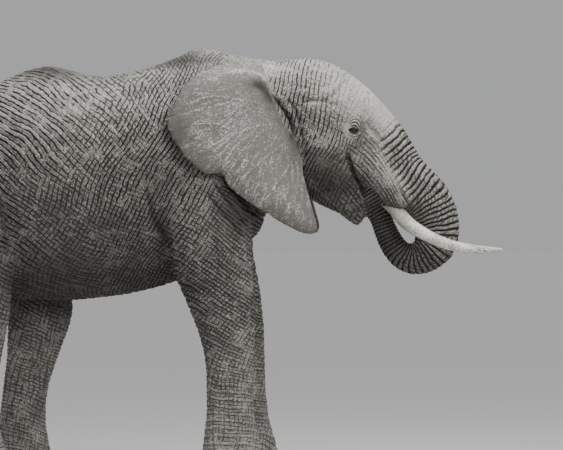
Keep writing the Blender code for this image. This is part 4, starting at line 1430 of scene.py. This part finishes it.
class ELEPHANT_OT_toenails(bpy.types.Operator):
    """Rounds the toenails of each foot and gives them horn"""

    bl_idname = "elephant.toenails"
    bl_label = "Toenails"

    def execute(self, context):
        settings = context.scene.elephant.nails
        material = horn_material(settings)
        for foot, nodes in NAILS.items():
            nails = rounded(nodes, "toes_" + foot.replace("_foot", ""), 3, settings.stand)
            points = places(nails.data)
            for node in nodes:
                shape_nail(points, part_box(node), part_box(foot))
            points[:, 2] = np.maximum(points[:, 2], NAIL_LOW)
            move_to(nails.data, points)
            dress(nails, material)
            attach(nails, "root")
            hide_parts(*nodes)
        return {"FINISHED"}


def strands(name, paths, radii, patches):
    """Hairs as three-sided prisms along paths of places, each with a small patch of the map OFBake."""
    count, rows = radii.shape
    bm = bmesh.new()
    bmesh.ops.create_circle(bm, cap_ends=True, radius=1, segments=3)
    faces = bm.faces[:]
    for _ in range(rows - 1):
        made = bmesh.ops.extrude_face_region(bm, geom=faces)["geom"]
        bmesh.ops.delete(bm, geom=[face for face in faces if face.is_valid], context="FACES_ONLY")
        faces = [part for part in made if isinstance(part, bmesh.types.BMFace)]
        lifted = [part for part in made if isinstance(part, bmesh.types.BMVert)]
        bmesh.ops.translate(bm, verts=lifted, vec=(0, 0, 1))
    bmesh.ops.holes_fill(bm, edges=[edge for edge in bm.edges if edge.is_boundary])
    bmesh.ops.recalc_face_normals(bm, faces=bm.faces)
    hair = object_from(bm, name)
    base = places(hair.data)
    modified(hair, "ARRAY", count=count, use_relative_offset=False)

    ways = np.gradient(paths, axis=1)
    ways /= np.linalg.norm(ways, axis=2, keepdims=True)
    aside = np.cross(ways, np.array([0.31, 0.17, 0.93]))
    aside /= np.linalg.norm(aside, axis=2, keepdims=True)
    other = np.cross(ways, aside)
    row = np.round(base[:, 2]).astype(int)
    offset = base[:, 0, None] * aside[:, row] + base[:, 1, None] * other[:, row]
    points = paths[:, row] + radii[:, row, None] * offset
    move_to(hair.data, points.reshape(-1, 3))

    corner = numbers(hair.data.loops, "vertex_index", 1, np.int32)[:, 0]
    spot = np.stack([base[:, 0] * 0.4, base[:, 2] / (rows - 1) - 0.5 + 0.2 * base[:, 1]], axis=1)
    flat = patches[:, None] + PATCH_SIZE * spot
    layer = hair.data.uv_layers.new(name="OFBake")
    layer.data.foreach_set("uv", flat.reshape(-1, 2)[corner].astype(np.float32).ravel())
    return hair


def unwrapped(points):
    """Where points of the skin fall on an unwrap of it round its length."""
    turn = np.arctan2(points[:, 1], points[:, 2] - UNWRAP_HEIGHT) / (2 * np.pi)
    length = (points[:, 0] - CAD_LOW.x) / (CAD_HIGH.x - CAD_LOW.x)
    return np.stack([0.5 + 0.9 * turn, 0.05 + 0.9 * length], axis=1)


def tail_paths(settings, chance):
    """Hairs that spring from the front and back of the tail's end and hang down it."""
    count = settings.strands
    t = np.linspace(0, 1, 9)
    stem = curve_through(TAIL_LINE, 10)
    start = chance.uniform(0, 1, count) ** 0.8
    rows = stem[(start * (len(stem) - 1)).astype(int)]
    end = chance.integers(0, 2, count) * np.pi
    turn = end + chance.normal(0, 0.7, count)
    reach = chance.uniform(0.15, 1.0, count)
    length = chance.uniform(0.22, 0.36, count) + 0.08 * start
    out = rows[:, 2, None] * 0.8 + reach[:, None] * TUFT_BULGE * np.sin(np.pi * t**0.6) + 0.006 * t
    drift = np.cumsum(chance.normal(0, 0.003, (count, len(t))), axis=1)
    lean = chance.normal(0, 0.006, (count, 1)) * t
    ahead = SHOULDER_X + rows[:, 0, None] + out * np.cos(turn)[:, None] + drift + 0.012 * t
    across = out * TUFT_FLATNESS * np.sin(turn)[:, None] + lean
    up = rows[:, 1, None] - length[:, None] * t
    patches = np.stack([0.05 + 0.9 * (turn % (2 * np.pi)) / (2 * np.pi), 0.05 + 0.9 * start], axis=1)
    thick = settings.strand / 2 * chance.uniform(0.7, 1.2, (count, 1)) * (1 - 0.75 * t**2)
    return np.stack([ahead, across, np.maximum(up, TUFT_LOW)], axis=2), thick, patches


def hair_paths(roots, ways, lengths, droop, radius):
    """Short hairs that leave their roots along the ways and droop, and how thick they are."""
    t = np.linspace(0, 1, 6)
    run = lengths[:, None, None] * t[None, :, None]
    paths = roots[:, None] + ways[:, None] * run
    paths[:, :, 2] -= droop * lengths[:, None] * t**2
    return paths, np.broadcast_to(radius * (1 - 0.8 * t), paths.shape[:2]).copy()


def lash_roots(skin, side, chance):
    """Roots and directions of the lashes along the two lids of an eye."""
    tree = BVHTree.FromPolygons(
        [vert.co for vert in skin.vertices], [face.vertices[:] for face in skin.polygons]
    )
    roots = []
    ways = []
    lengths = []
    for lid, count, long in LASHES:
        for along in np.linspace(-0.85, 0.92, count) * EYE_HALF_LENGTH:
            rise = lid * (1 - (along / EYE_HALF_LENGTH) ** 2) + math.copysign(0.003, lid)
            ahead = along * math.cos(EYE_DIP) - rise * math.sin(EYE_DIP)
            up = along * math.sin(EYE_DIP) + rise * math.cos(EYE_DIP)
            start = Vector((EYE.x + ahead, side * 1.0, EYE.z + up))
            place = tree.ray_cast(start, Vector((0, -side, 0)))[0]
            roots.append(place - Vector((0, side * MILLIMETRE, 0)))
            ways.append((0.25 + 9 * ahead, side * 1.0, (0.15 if lid > 0 else -0.5) + chance.normal(0, 0.08)))
            lengths.append(long * chance.uniform(0.7, 1.1))
    ways = np.array(ways)
    return np.array(roots), ways / np.linalg.norm(ways, axis=1)[:, None], np.array(lengths)


def bristle_roots(skin, chance):
    """Roots and directions of the sparse bristles, which stand on parts of the head and the back."""
    points = places(skin)
    facing = normals(skin)
    at = side_view(points)
    found = []
    for ahead, up, half_ahead, half_up, count in BRISTLE_PATCHES:
        inside = np.nonzero(patch(at, ahead, up, half_ahead, half_up) > 0.4)[0]
        found.append(chance.choice(inside, count, replace=False))
    chosen = np.concatenate(found)
    ways = facing[chosen] + chance.normal(0, 0.25, (len(chosen), 3))
    ways /= np.linalg.norm(ways, axis=1)[:, None]
    return points[chosen] - facing[chosen] * MILLIMETRE, ways, chance.uniform(0.018, 0.045, len(chosen))


def hair_material(settings):
    """Elephant hair: stiff and near black, with a dull shine, and browned in places by dust."""
    material, tree, shader = new_material("coarse_hair")
    place = add(tree, "TexCoord")["Object"]
    noise = add(tree, "TexNoise", {"Vector": place, "Scale": 60.0, "Detail": 2.0})[0]
    dusty = add(tree, "MapRange", {0: noise, 1: 0.4, 2: 0.7, 3: 0.0, 4: 0.6})[0]
    brown = opaque(linear("4a4038"))
    colour = add(tree, "Mix", {"Factor": dusty, 6: opaque(settings.hair), 7: brown}, data_type="RGBA")[2]
    rough = add(tree, "MapRange", {0: noise, 1: 0.3, 2: 0.7, 3: 0.35, 4: 0.6})[0]
    feed(tree, shader, {"Base Color": colour, "Roughness": rough})
    return material


class ELEPHANT_OT_hairs(bpy.types.Operator):
    """Grows the tuft of the tail, the eyelashes and the bristles of the head and back"""

    bl_idname = "elephant.hairs"
    bl_label = "Hairs"

    def execute(self, context):
        settings = context.scene.elephant.hairs
        skin = bpy.data.objects["skin"].data
        material = hair_material(settings)
        chance = np.random.default_rng(8)
        tail = strands("tail_hair", *tail_paths(settings, chance))
        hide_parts("tail_tuft")
        pieces = [tail]
        for name, side in SIDES.items():
            roots, ways, lengths = lash_roots(skin, side, chance)
            paths, radii = hair_paths(roots, ways, lengths, LASH_DROOP, LASH_RADIUS)
            pieces.append(strands(f"lashes_{name}", paths, radii, unwrapped(roots)))
        roots, ways, lengths = bristle_roots(skin, chance)
        paths, radii = hair_paths(roots, ways, lengths, BRISTLE_DROOP, BRISTLE_RADIUS)
        pieces.append(strands("bristles", paths, radii, unwrapped(roots)))
        for piece in pieces:
            dress(piece, material)
            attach(piece, "root")
        return {"FINISHED"}


class ELEPHANT_OT_stage(bpy.types.Operator):
    """Makes the pale floor, the soft lights and the camera"""

    bl_idname = "elephant.stage"
    bl_label = "Stage"

    def execute(self, context):
        bm = bmesh.new()
        bmesh.ops.create_circle(bm, cap_ends=True, radius=FLOOR_RADIUS, segments=64)
        floor = object_from(bm, "floor")
        material, tree, shader = new_material("painted_floor")
        place = add(tree, "TexCoord")["Object"]
        scuff = add(tree, "TexNoise", {"Vector": place, "Scale": 3.0, "Detail": 4.0})[0]
        rough = add(tree, "MapRange", {0: scuff, 3: 0.85, 4: 0.95})[0]
        paint = opaque(linear("bdbcba"))
        feed(tree, shader, {"Base Color": paint, "Roughness": rough, "Specular IOR Level": 0.1})
        floor.data.materials.append(material)

        # The sky is a soft light overhead that falls off to the tone of the floor at the horizon.
        world = bpy.data.worlds.new("studio")
        world.use_nodes = True
        tree = world.node_tree
        way = add(tree, "TexCoord")["Generated"]
        up = add(tree, "SeparateXYZ", {0: way})[2]
        lit = add(
            tree,
            "MapRange",
            {0: up, 1: 0.02, 2: 0.75, 3: SKY_AT_HORIZON, 4: SKY_OVERHEAD},
            interpolation_type="SMOOTHSTEP",
        )[0]
        feed(tree, tree.nodes["Background"], {"Color": opaque(linear("e9eaec")), "Strength": lit})
        context.scene.world = world

        for name, place, size, power in LAMPS:
            light = bpy.data.lights.new(name, "AREA")
            light.shape = "DISK"
            light.size = size
            light.energy = power
            lamp = bpy.data.objects.new(name, light)
            lamp.location = place
            aim = Vector(LAMPS_AIM) - Vector(place)
            lamp.rotation_euler = aim.to_track_quat("-Z", "Y").to_euler()
            context.scene.collection.objects.link(lamp)

        target = Vector((SHOULDER_X + VIEW_AHEAD, 0, VIEW_UP))
        camera = bpy.data.cameras.new("camera")
        camera.sensor_width = 36
        camera.lens = camera.sensor_width * CAMERA_DISTANCE / VIEW_WIDTH
        camera.clip_end = 500
        seat = bpy.data.objects.new("camera", camera)
        seat.location = (target.x, -CAMERA_DISTANCE, CAMERA_HEIGHT)
        seat.rotation_euler = (target - seat.location).to_track_quat("-Z", "Y").to_euler()
        context.scene.collection.objects.link(seat)
        context.scene.camera = seat
        return {"FINISHED"}


class ELEPHANT_PT_parts(bpy.types.Panel):
    """Lists the elephant's pieces and their settings"""

    bl_idname = "ELEPHANT_PT_parts"
    bl_label = "Elephant"
    bl_space_type = "VIEW_3D"
    bl_region_type = "UI"
    bl_category = "Elephant"

    def draw(self, context):
        settings = context.scene.elephant
        for operator, group in (
            (ELEPHANT_OT_skin, settings.skin),
            (ELEPHANT_OT_eyes, settings.eyes),
            (ELEPHANT_OT_tusks, settings.tusks),
            (ELEPHANT_OT_toenails, settings.nails),
            (ELEPHANT_OT_hairs, settings.hairs),
        ):
            self.layout.operator(operator.bl_idname)
            for name in group.__annotations__:
                self.layout.prop(group, name)
        self.layout.operator(ELEPHANT_OT_stage.bl_idname)


CLASSES = (
    SkinSettings,
    EyeSettings,
    TuskSettings,
    NailSettings,
    HairSettings,
    ElephantSettings,
    ELEPHANT_OT_skin,
    ELEPHANT_OT_eyes,
    ELEPHANT_OT_tusks,
    ELEPHANT_OT_toenails,
    ELEPHANT_OT_hairs,
    ELEPHANT_OT_stage,
    ELEPHANT_PT_parts,
)


def register():
    for made in CLASSES:
        bpy.utils.register_class(made)
    bpy.types.Scene.elephant = PointerProperty(type=ElephantSettings)


def unregister():
    del bpy.types.Scene.elephant
    for made in reversed(CLASSES):
        bpy.utils.unregister_class(made)


def main():
    register()
    bpy.ops.elephant.skin()
    bpy.ops.elephant.eyes()
    bpy.ops.elephant.tusks()
    bpy.ops.elephant.toenails()
    bpy.ops.elephant.hairs()
    bpy.ops.elephant.stage()


if __name__ == "__main__":
    main()
